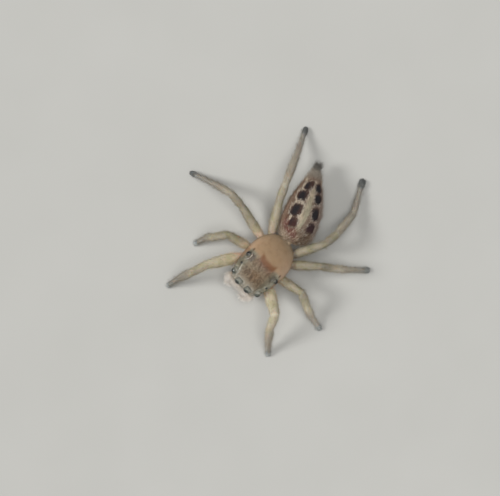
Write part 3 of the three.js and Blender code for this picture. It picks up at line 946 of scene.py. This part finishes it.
def markings(graph, root_shade, tip_lift):
    """The one set of markings of skin and coat, by shares darker at a hair's root and paler at its tip."""
    place, root = graph.attribute("place", "Vector"), graph.attribute("root", "Vector")
    colour = carapace_colour(graph, place)
    colour = colour.painted(abdomen_colour(graph, place), graph.attribute("on_abdomen"))
    colour = colour.painted(limb_colour(graph, place, root), graph.attribute("on_limb"))
    colour = colour.painted(face_colour(graph, place), graph.attribute("on_face"))
    tip = graph.attribute("tip")
    colour = colour.painted((70, 56, 46), tip.step(0.5, 0.0) * root_shade)
    return colour.painted((226, 216, 196), tip.step(0.3, 1.0) * tip_lift)


def cuticle_grain(graph, sockets):
    """The skin's fine grain: hair sockets, as deep as their share, over a soft unevenness."""
    root = graph.attribute("root", "Vector")
    cells = graph.add("ShaderNodeTexVoronoi", {"Vector": root, "Scale": 9.0}, "Distance")
    return graph.noise(root, 14.0, 4.0, 0.6) + cells.step(0.0, 0.5) * sockets


def new_material(name):
    """The graph of a new material."""
    material = bpy.data.materials.new(name)
    material.use_nodes = True
    return Graph(material.node_tree, material)


def skin_material(marks, grain):
    graph = new_material("spider_skin")
    height = graph.add("ShaderNodeGroup", {"Sockets": 0.6}, node_tree=grain)
    bump = {"Strength": 0.5, "Distance": 0.012 * MM, "Height": height}
    limb = graph.attribute("on_limb")
    dull = graph.attribute("on_abdomen") + limb * 0.5
    return graph.shade({
        "Base Color": graph.add("ShaderNodeGroup", {"Root Shade": 0.0, "Tip Lift": 0.0}, node_tree=marks),
        "Normal": graph.add("ShaderNodeBump", bump),
        "Roughness": dull.spread(0.0, 1.0, 0.42, 0.7),
        "Subsurface Weight": limb.spread(0.0, 1.0, 0.25, 0.7),
        "Subsurface Scale": 0.35 * MM,
        "Subsurface Radius": (1.0, 0.6, 0.35),
        "Specular IOR Level": 0.3,
    })


def shade_hair(graph, colour, darkest, lightest, roughness, specular):
    """Feeds a hair's shader, its colour lighter or darker from hair to hair. Returns the material."""
    value = graph.attribute("strand").spread(0.0, 1.0, darkest, lightest)
    vary = graph.add("ShaderNodeHueSaturation", {"Value": value, "Color": colour})
    return graph.shade({"Base Color": vary, "Roughness": roughness, "Specular IOR Level": specular})


def coat_material(name, marks, roughness, root_shade, tip_lift):
    """Hair with the skin's own markings, a little darker at the root and paler at the tip."""
    graph = new_material(name)
    values = {"Root Shade": root_shade, "Tip Lift": tip_lift}
    colour = graph.add("ShaderNodeGroup", values, node_tree=marks)
    return shade_hair(graph, colour, 0.86, 1.16, roughness, specular=0.2)


def toned_hair_material(name, root_tone, tip_tone, roughness=0.5):
    """Hair with colours of its own, from root to tip."""
    graph = new_material(name)
    colour = graph.mix(graph.attribute("tip").step(0.0, 0.8), root_tone, tip_tone)
    return shade_hair(graph, colour, 0.8, 1.2, roughness, specular=0.5)


def eye_material(name, centre, ring):
    """A wet black lens with a faint ring deep in it and a dull rim."""
    graph = new_material(name)
    out = graph.attribute("out")
    tones = (centre, centre, ring, ring, (34, 33, 30), (100, 99, 88))
    colour = graph.ramp(out, list(zip((0.0, 0.42, 0.54, 0.70, 0.78, 0.92), tones)))
    cloud = graph.noise(graph.attribute("root", "Vector"), 12.0)
    return graph.shade({
        "Base Color": colour.painted((24, 20, 16), cloud * 0.25),
        "Roughness": out.spread(0.74, 0.86, 0.14, 0.45),
        "Coat Weight": out.spread(0.74, 0.86, 0.5, 0.0),
        "Coat Roughness": 0.08,
        "IOR": 1.5,
    })


def horn_material():
    """Dark brown horn, redder and thinner at its base."""
    graph = new_material("dark_horn")
    root = graph.attribute("root", "Vector")
    colour = graph.mix(graph.attribute("tip").step(0.0, 0.6), (118, 70, 46), (40, 24, 18))
    return graph.shade({
        "Base Color": colour.painted((64, 40, 28), graph.noise(root, 20.0) * 0.3),
        "Roughness": graph.noise(root, 30.0).spread(0.3, 0.7, 0.22, 0.4),
    })


def floor_material():
    """Plain pale plaster."""
    graph = new_material("plain_floor")
    tone = graph.noise(graph.add("ShaderNodeTexCoord", output="Object"), 160.0, 2.0, 0.5)
    return graph.shade({
        "Base Color": graph.mix(tone, (0.500, 0.495, 0.464, 1), (0.540, 0.534, 0.504, 1)),
        "Roughness": 0.9,
        "Specular IOR Level": 0.1,
    })


# ---------------- hairs

class Skin:
    """The skin's triangles and each vertex's facts, ready to be planted with hairs."""

    def __init__(self, mesh, **facts):
        self.co = read_rows(mesh.vertices, "co") / MM
        self.normal = read_rows(mesh.vertices, "normal")
        mesh.calc_loop_triangles()
        self.triangles = read_rows(mesh.loop_triangles, "vertices", kind=np.int32)
        a, b, c = (self.co[self.triangles[:, i]] for i in range(3))
        self.area = np.linalg.norm(np.cross(b - a, c - a), axis=1) / 2
        self.facts = facts

    def on(self, part):
        """1 for each vertex that belongs to a part, else 0."""
        return (self.facts["kind"] == part).astype(float)

    def facts_at(self, chosen):
        return {name: values[chosen] for name, values in self.facts.items()}

    def plant(self, count, thickness, seed):
        """Picks count roots by area times thickness (one number per vertex). Returns their facts."""
        rng = np.random.default_rng(seed)
        weight = self.area * thickness[self.triangles].mean(axis=1)
        chosen = rng.choice(len(weight), size=count, p=weight / weight.sum())
        shares = rng.dirichlet((1.0, 1.0, 1.0), size=count)
        corners = self.triangles[chosen]
        nearest = corners[np.arange(count), shares.argmax(axis=1)]

        def between(values):
            return (values[corners] * shares[:, :, None]).sum(axis=1)

        root, normal = between(self.co), unit(between(self.normal))
        return {"root": root, "normal": normal, "rng": rng, **self.facts_at(nearest)}


# One hair's corners from root to tip, and its faces.
SPIKE_SHARES = np.array([0, 0, 0, 0.5, 0.5, 0.5, 1.0])
SPIKE_CORNERS = len(SPIKE_SHARES)
SPIKE_FACES = np.array([
    (0, 2, 1),
    (0, 1, 4), (0, 4, 3), (1, 2, 5), (1, 5, 4), (2, 0, 3), (2, 3, 5),
    (3, 4, 6), (4, 5, 6), (5, 3, 6),
])
SPIKE_FLATNESS = 0.8
ROOT_SINK = 0.02  # how deep a hair starts in the skin
FLOOR_GAP = 0.012  # the lowest that a hair comes, in millimetres
UV_PATCH = 0.0015  # half the width of one hair's patch on the OFBake map
UV_MARGIN = 0.004
UNWRAP_LENGTH = 5.3  # millimetres of body that fill the map's height


def spikes(roots, middles, tips, widths):
    """Closed three-sided tapering hairs. Returns points and faces."""
    heading = unit(tips - roots)
    side = unit(np.cross(heading, UP) + [1e-4, 0, 0])
    up = np.cross(side, heading)
    points = np.empty((len(roots), SPIKE_CORNERS, 3))
    for i in range(3):
        turn = FULL_TURN * i / 3 + math.pi / 2
        ring = (side * math.cos(turn) + up * math.sin(turn) * SPIKE_FLATNESS) * widths[:, None] / 2
        points[:, i] = roots + ring * 0.9
        points[:, 3 + i] = middles + ring * 0.8
    points[:, 6] = tips
    faces = SPIKE_FACES[None] + SPIKE_CORNERS * np.arange(len(roots))[:, None, None]
    return points.reshape(-1, 3), faces.reshape(-1, 3)


def lay_hairs(plants, length, width, lift, scatter, clump=0.0, clump_size=12):
    """Bends each hair along the body from its root. Lengths, widths and lifts may differ by hair."""
    rng, root, normal = plants["rng"], plants["root"], plants["normal"]
    count = len(root)
    lie = plants["lie"] + rng.normal(0, 1, (count, 3)) * np.reshape(scatter, (-1, 1))
    flat = unit(lie - normal * (lie * normal).sum(axis=1, keepdims=True))
    length = np.broadcast_to(length, count) * rng.uniform(0.75, 1.2, count)
    lift = np.broadcast_to(lift, count) * rng.uniform(0.5, 1.5, count)
    rise = normal * (length * lift)[:, None]
    run = flat * length[:, None]
    start = root - normal * ROOT_SINK
    middle = root + run * 0.5 + rise * 0.65
    tip = root + run + rise
    if clump:
        guides = rng.choice(count, size=max(1, count // clump_size), replace=False)
        mine = guides[nearest_of(root[guides], root)]
        gathered = tip[mine] + (root - root[mine]) * 0.4
        tip = tip * (1 - clump) + gathered * clump
    plants["strand"], plants["length"] = rng.uniform(0, 1, count), length
    for points in (start, middle, tip):
        points[:, 2] = np.maximum(points[:, 2], FLOOR_GAP)
    width = np.broadcast_to(width, count) * rng.uniform(0.8, 1.2, count)
    return spikes(start, middle, tip, width)


def unwrapped(plants):
    """Each root's place on an unwrap of the skin: rolled out round the body or in a strip for each leg."""
    limb = plants["kind"] == LIMB
    turn = plants["around"]
    u = np.where(limb, (plants["leg"] + turn) / len(LEGS), turn)
    v = np.where(limb, plants["place"][:, 0], plants["place"][:, 1] / UNWRAP_LENGTH)
    return UV_MARGIN + (1 - 2 * UV_MARGIN) * np.clip(np.stack([u, v], axis=1), 0, 1)


def grow(name, plants, material, slot, **measures):
    """Makes one coat piece, with the values that its material reads and its OFBake map."""
    mesh = mesh_of(name, *lay_hairs(plants, **measures))
    # A hair takes the markings of what it covers, half its length behind its root.
    covered = plants["place"].copy()
    covered[:, 1] += np.where(plants["kind"] == ABDOMEN, plants["length"] * 0.5, 0.0)
    for label, values in (("place", covered), ("root", plants["root"]), ("strand", plants["strand"])):
        set_point_values(mesh, label, np.repeat(values, SPIKE_CORNERS, axis=0))
    set_point_values(mesh, "tip", np.tile(SPIKE_SHARES, len(covered)))
    set_part_values(mesh, np.repeat(plants["kind"], SPIKE_CORNERS))
    turn = round_angles(3)
    ring = np.stack([np.cos(turn), np.sin(turn)], axis=1) * UV_PATCH
    offsets = np.concatenate([ring, ring * 0.6, [[0.0, 0.0]]])
    spots = (unwrapped(plants)[:, None, :] + offsets[None]).reshape(-1, 2)
    corners = read_rows(mesh.loops, "vertex_index", 1, np.int32).ravel()
    layer = mesh.uv_layers.new(name="OFBake")
    layer.data.foreach_set("uv", spots[corners].astype(np.float32).ravel())
    piece_of(name, mesh, material)


# ---------------- eyes, horn and spines

# A lens in section, as shares of its radius: out from its axis, forward along it, and how far out it counts.
DOME_STEPS = 14
DOME_EDGE = math.radians(78)
DOME_SIZE = (0.97, 0.98, 0.74)
LENS_RIM = (
    (0.955, 0.17, 0.76),
    (0.99, 0.20, 0.84),
    (1.05, 0.15, 0.92),
    (1.09, 0.03, 1.0),
    (1.08, -0.12, 1.0),
    (0.95, -0.32, 1.0),
    (0.55, -0.50, 1.0),
    (0.03, -0.55, 1.0),
)
EYE_SIDES = 44


def add_eye(kind, side, material):
    centre, radius, gaze = eye_facts(kind, side)
    wide, tall, counted = DOME_SIZE
    dome = [(math.sin(a) * wide, math.cos(a) * tall, a / DOME_EDGE * counted)
            for a in np.linspace(0.02, DOME_EDGE, DOME_STEPS)]
    profile = np.array([*dome, *LENS_RIM])
    ring = ring_about(gaze, round_angles(EYE_SIDES))
    points = centre + (ring[None] * profile[:, :1, None] + gaze * profile[:, 1:2, None]) * radius
    points = points.reshape(-1, 3)
    mesh = mesh_of(f"eye_lens_{kind}_{side}", points, ring_faces(len(profile), EYE_SIDES)[:, ::-1])
    set_point_values(mesh, "out", np.repeat(profile[:, 2], EYE_SIDES))
    set_point_values(mesh, "root", points)
    lens = piece_of(mesh.name, mesh, material)
    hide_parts(f"eye_{kind}_{side}")


def joined_tubes(name, tubes, material):
    """One piece from several tapering tubes, each a path and its radii."""
    joined, tips = Flesh(), []
    for path, radii in tubes:
        points, faces, lie = tube(path, radii, sides=8)
        joined.add(points, faces, LIMB, lie)
        tips.append(np.repeat(np.linspace(0, 1, len(path)), 8))
    points, faces, *_ = joined.joined()
    mesh = mesh_of(name, points, faces)
    set_point_values(mesh, "tip", np.concatenate(tips))
    set_point_values(mesh, "strand", np.full(len(points), 0.4))
    set_point_values(mesh, "root", points)
    return piece_of(name, mesh, material)


def hook(start, heading, toward, length, thickness, steps=9):
    """A curved claw from start, bending from heading to toward."""
    share = np.linspace(0, 1, steps)[:, None]
    bend = unit(np.asarray(heading) * (1 - share) + np.asarray(toward) * share)
    path = start + np.cumsum(bend, axis=0) * length / steps
    return path, thickness * np.maximum(0.03, (1 - share[:, 0]) ** 0.6)


def add_fangs(material):
    tubes = []
    for side, mirror in SIDES.items():
        _, high, (x, y, _) = node_box(f"fang_{side}")
        start = np.array([x + mirror * 0.08, y, high[2]])
        tubes.append(hook(start, [-mirror * 0.3, -0.1, -1.0], [-mirror * 1.0, 0.5, -0.1], 0.34, 0.06))
    fangs = joined_tubes("fangs", tubes, material)
    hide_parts("fang_left", "fang_right")


def add_claws(material):
    tubes = []
    for side, number in LEGS:
        *_, ankle, toe = leg_places(side, number)
        forward = unit((toe - ankle) * [1, 1, 0])
        aside = np.array([forward[1], -forward[0], 0.0])
        for way in (-1, 1):
            start = toe + forward * 0.05 + aside * way * 0.035
            tubes.append(hook(start, forward + aside * way * 0.25 + [0, 0, 0.15], -UP, 0.13, 0.02))
    joined_tubes("tarsal_claws", tubes, material)


# Stout spines, by stretch of leg: shares along it and how long they are in millimetres.
SPINE_ROWS = {3: ((0.28, 0.58, 0.88), 0.34), 4: ((0.2, 0.62), 0.30)}


def add_spines(material):
    tubes = []
    for side, number in LEGS:
        places = leg_places(side, number)
        for i, (shares, length) in SPINE_ROWS.items():
            a, b = places[i], places[i + 1]
            heading = unit(b - a)
            aside = unit(np.cross(heading, UP))
            down = np.cross(heading, aside)
            down = down * -np.sign(down[2])
            radius = LEG_RADII[number - 1][i] * 0.9
            for share in shares:
                for way in (-1, 1):
                    out = unit(aside * way + down * 0.55)
                    start = a + (b - a) * share + out * (radius - 0.03)
                    tubes.append(hook(start, out * 0.75 + heading, out * 0.3 + heading, length, 0.018))
    joined_tubes("leg_spines", tubes, material)


# ---------------- the coat

def fade(values, low, high):
    """0 below low, 1 above high, straight between; reversed where low is above high."""
    return np.clip((values - low) / (high - low), 0, 1)


def add_abdomen_coat(skin, material):
    """The short coat, in two halves, and loose hairs that break the outline."""
    x, y, _ = skin.facts["place"].T
    thin_tip = 1 - 0.5 * fade(y, 4.2, 4.7)
    for side, mirror in SIDES.items():
        half = fade(x * mirror, -0.001, 0.001)
        plants = skin.plant(17000, skin.on(ABDOMEN) * half * thin_tip, seed=11 + (mirror > 0))
        low_down = 1 - fade(plants["place"][:, 2], 0.9, 1.6)
        grow(f"abdomen_coat_{side}", plants, material, "abdomen_coat",
             length=0.19 + 0.07 * low_down, width=0.021, lift=0.20, scatter=0.28, clump=0.35)

    ends = 0.35 + fade(y, 0.9, 0.1) + fade(y, 3.8, 4.6)
    plants = skin.plant(2600, skin.on(ABDOMEN) * ends, seed=21)
    grow("abdomen_long_hairs", plants, material, "abdomen_coat",
         length=0.36, width=0.016, lift=0.42, scatter=0.35)


def add_abdomen_pale_hairs(skin, material):
    """Cream hairs that part the spots, slanting out and back, and in longer tufts along the shoulder."""
    x, y, z = skin.facts["place"].T
    out = spot_distance(x, y)
    between = fade(out, 1.06, 1.12) * fade(out, 1.28, 1.19) * (1 - 0.5 * fade(x, 0.1, 0.4))
    between *= fade(y, 0.85, 1.15)
    shoulder = fade(y, 0.10, 0.25) * fade(y, 0.75, 0.55) * fade(np.abs(x + 0.40), 0.60, 0.25)
    off_red = fade(np.hypot((x + 0.7 * y) / 0.30, (y - 0.76) / 0.50), 0.7, 1.2)
    shoulder *= 0.12 + 0.88 * off_red
    weight = np.maximum(between, 0.15 * shoulder) * fade(z, 1.7, 2.1) * fade(y, 4.0, 3.8)
    weight = np.maximum(weight, 0.05 * fade(z, 1.3, 1.7) * fade(out, 1.0, 1.2))
    plants = skin.plant(2500, skin.on(ABDOMEN) * weight, seed=23)
    across, along, _ = plants["place"].T
    on_shoulder = along < 0.85
    slant = np.where(on_shoulder, 0.35, np.sign(across) * plants["rng"].uniform(0.0, 0.9, len(across)))
    plants["lie"] = unit(plants["lie"] + slant[:, None] * abdomen_axes().across)
    grow("abdomen_pale_hairs", plants, material, "abdomen_coat", length=np.where(on_shoulder, 0.28, 0.20),
         width=0.018, lift=0.16, scatter=0.08, clump=0.5, clump_size=8)


def add_head_coat(skin, short, soft):
    """Hairs on the eye field and flanks, few on the smooth top behind it, and fine ones on the face."""
    _, y, z = skin.facts["place"].T
    field = fade(y, 1.98, 1.7) * fade(z, 1.9, 2.1)
    flank = fade(z, 2.2, 1.8) * 0.5
    weight = np.maximum(np.maximum(field, flank), 0.02)
    plants = skin.plant(9000, skin.on(CARAPACE) * weight, seed=31)
    grow("head_coat", plants, short, "carapace_coat",
         length=0.11, width=0.016, lift=0.22, scatter=0.35, clump=0.2)

    plants = skin.plant(7500, skin.on(FACE), seed=41)
    grow("face_coat", plants, soft, "mouthpart_coat",
         length=0.10, width=0.012, lift=0.35, scatter=0.3, clump=0.2)


# How far each foot's brush spreads: legs 1 to 4, left then right.
BRUSH_SPREAD = np.array([0.7, 0.6, 1.0, 0.8, 0.95, 0.5, 1.05, 0.7])


def add_leg_coat(skin, material, foot_material):
    """Fine hairs with longer ones astray among them, and dark brushes round the last of each foot."""
    share = skin.facts["place"][:, 0]
    weight = skin.on(LIMB) * (0.55 + 0.6 * fade(share, 0.5, 0.8)) * (1 - fade(share, 0.955, 0.975))
    for side, mirror in SIDES.items():
        mine = skin.facts["leg"] % 2 == (mirror < 0)
        plants = skin.plant(13500, mine * weight, seed=51 + (mirror > 0))
        stray = plants["rng"].random(len(plants["root"])) < 0.18
        grow(f"leg_coat_{side}", plants, material, "leg_coat", length=np.where(stray, 0.27, 0.17),
             width=0.0115, lift=np.where(stray, 0.55, 0.25), scatter=0.22)
    plants = skin.plant(6400, skin.on(LIMB) * fade(share, 0.945, 0.99), seed=61)
    grow("foot_tufts", plants, foot_material, "foot_coat",
         length=0.155 * BRUSH_SPREAD[plants["leg"]], width=0.016, lift=0.7, scatter=0.3, clump=0.25)


def add_eye_lashes(skin, material):
    """Pale hairs in a ring about each large eye."""
    rng = np.random.default_rng(71)
    roots, lies = [], []
    for kind, count in (("front_middle", 130), ("front_side", 50), ("rear_side", 20)):
        for side in SIDES:
            centre, radius, gaze = eye_facts(kind, side)
            angle = rng.uniform(0, FULL_TURN, count)
            if kind == "rear_side":
                angle = rng.normal(math.pi if side == "right" else 0.0, 0.7, count)
            ring = ring_about(gaze, angle)
            reach = radius * rng.uniform(1.1, 1.32, count)[:, None]
            roots.append(centre + ring * reach - gaze * radius * 0.25)
            around = np.cross(gaze, ring) * rng.choice([-1, 1], count)[:, None]
            lies.append(ring * 0.35 + around * 0.75 + gaze * 0.45)
    nearest = nearest_of(skin.co, np.concatenate(roots))
    plants = skin.facts_at(nearest)
    plants["root"] = skin.co[nearest] + rng.normal(0, 0.012, (len(nearest), 3))
    plants.update(normal=skin.normal[nearest], lie=unit(np.concatenate(lies)), rng=rng)
    grow("eye_lashes", plants, material, "carapace_coat", length=0.15, width=0.015, lift=0.3, scatter=0.15)


def add_face_fringe(skin, material):
    """A pale fringe that hangs from the face's edge over the jaws."""
    _, y, z = skin.facts["place"].T
    brow = fade(y, 0.22, 0.06) * fade(z, 2.05, 1.85) * fade(z, 1.35, 1.5)
    jaw = fade(y, 0.3, 0.1) * fade(z, 1.0, 1.2)
    weight = np.maximum(skin.on(CARAPACE) * brow, skin.on(FACE) * (jaw * 0.35))
    plants = skin.plant(3600, weight, seed=81)
    plants["lie"] = unit(np.array([0.0, -0.9, -0.45]))
    length = np.where(plants["kind"] == CARAPACE, 0.40, 0.26)
    grow("face_fringe", plants, material, "mouthpart_coat",
         length=length, width=0.013, lift=0.8, scatter=0.22, clump=0.15)


# ---------------- floor, light and camera

FLOOR_HALF = 1.2  # in metres
CAMERA_TARGET = np.array([-1.32, 1.99, 2.2])  # from the middle of the face's front edge
# The camera looks down, leaning a few degrees, turned so that the head points to the lower left.
CAMERA_LEAN = (-math.tan(math.radians(6)), -math.tan(math.radians(3)), 1.0)
CAMERA_UP = (-0.725, 0.688, 0.0)
CAMERA_DISTANCE = 71.0
CAMERA_LENS = 85.2
# Lights: name, the way its light travels, strength and width in degrees.
LIGHTS = (
    ("key_light", (0.95, 0.82, -1.0), 1.8, 18),
    ("fill_light", (0.05, 0.0, -1.0), 1.45, 40),
)
WORLD_STRENGTH = 0.26


def add_floor():
    mesh = bpy.data.meshes.new("floor")
    corners = [(x * FLOOR_HALF, y * FLOOR_HALF, 0.0) for x, y in ((-1, -1), (1, -1), (1, 1), (-1, 1))]
    mesh.from_pydata(corners, [], [(0, 1, 2, 3)])
    mesh.materials.append(floor_material())
    linked("floor", mesh)


def add_light():
    for name, heading, strength, width in LIGHTS:
        sun = bpy.data.lights.new(name, "SUN")
        sun.energy = strength
        sun.angle = math.radians(width)
        linked(name, sun).rotation_euler = Vector(heading).to_track_quat("-Z", "Y").to_euler()
    world = bpy.data.worlds.new("studio")
    world.use_nodes = True
    graph = Graph(world.node_tree)
    light = world.node_tree.nodes["Background"]
    light.inputs["Color"].default_value = (0.98, 0.99, 1.0, 1.0)
    light.inputs["Strength"].default_value = WORLD_STRENGTH
    seen = {"Color": (0.52, 0.515, 0.484, 1.0), "Strength": 1.0}
    either = graph.add("ShaderNodeMixShader", {
        0: graph.add("ShaderNodeLightPath", output="Is Camera Ray"),
        1: Value(graph, light.outputs[0]),
        2: graph.add("ShaderNodeBackground", seen),
    })
    graph.feed(world.node_tree.nodes["World Output"].inputs[0], either)
    bpy.context.scene.world = world


def add_camera():
    back = Vector(CAMERA_LEAN).normalized()
    right = Vector(CAMERA_UP).cross(back).normalized()
    target = Vector(carapace_axes().origin + CAMERA_TARGET)
    place = (target + back * CAMERA_DISTANCE) * MM
    camera = bpy.data.cameras.new("camera")
    camera.lens = CAMERA_LENS
    camera.clip_start = 0.001
    camera.clip_end = 100.0
    seen = linked("camera", camera)
    turned = Matrix((right, back.cross(right), back)).transposed().to_4x4()
    seen.matrix_world = Matrix.Translation(place) @ turned
    bpy.context.scene.camera = seen


# ---------------- the whole spider

def add_spider():
    shades = ("Root Shade", "Tip Lift")
    marks = shared_group("spider_markings", shades, "Colour", "NodeSocketColor", markings)
    grain = shared_group("cuticle_grain", ("Sockets",), "Height", "NodeSocketFloat", cuticle_grain)
    mesh, skin = build_skin_mesh()
    body = piece_of("spider_skin", mesh, skin_material(marks, grain))
    flesh = [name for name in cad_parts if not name.startswith(("eye_", "fang_"))]
    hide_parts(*flesh)

    short = coat_material("short_coat", marks, roughness=0.7, root_shade=0.25, tip_lift=0.02)
    soft = coat_material("soft_face_hair", marks, roughness=0.6, root_shade=0.0, tip_lift=0.45)
    fine = coat_material("fine_leg_hair", marks, roughness=0.5, root_shade=0.06, tip_lift=0.12)
    dusky = coat_material("dusky_foot_hair", marks, roughness=0.6, root_shade=0.0, tip_lift=0.0)
    cream = toned_hair_material("cream_body_hair", (216, 203, 182), (240, 231, 214))
    pale = toned_hair_material("pale_lash_hair", (168, 162, 148), (198, 192, 180))
    blush = toned_hair_material("blush_fringe_hair", (237, 225, 211), (249, 243, 235))
    add_abdomen_coat(skin, short)
    add_abdomen_pale_hairs(skin, cream)
    add_head_coat(skin, short, soft)
    add_leg_coat(skin, fine, dusky)
    add_eye_lashes(skin, pale)
    add_face_fringe(skin, blush)

    for kind, (*_, name, centre, ring) in EYES.items():
        material = eye_material(name, centre, ring)
        for side in SIDES:
            add_eye(kind, side, material)
    horn = horn_material()
    add_fangs(horn)
    add_claws(horn)
    add_spines(toned_hair_material("brown_spine", (120, 100, 76), (70, 58, 46), 0.35))


add_spider()
add_floor()
add_light()
add_camera()
bpy.context.scene.view_settings.view_transform = "Standard"
bpy.context.view_layer.update()
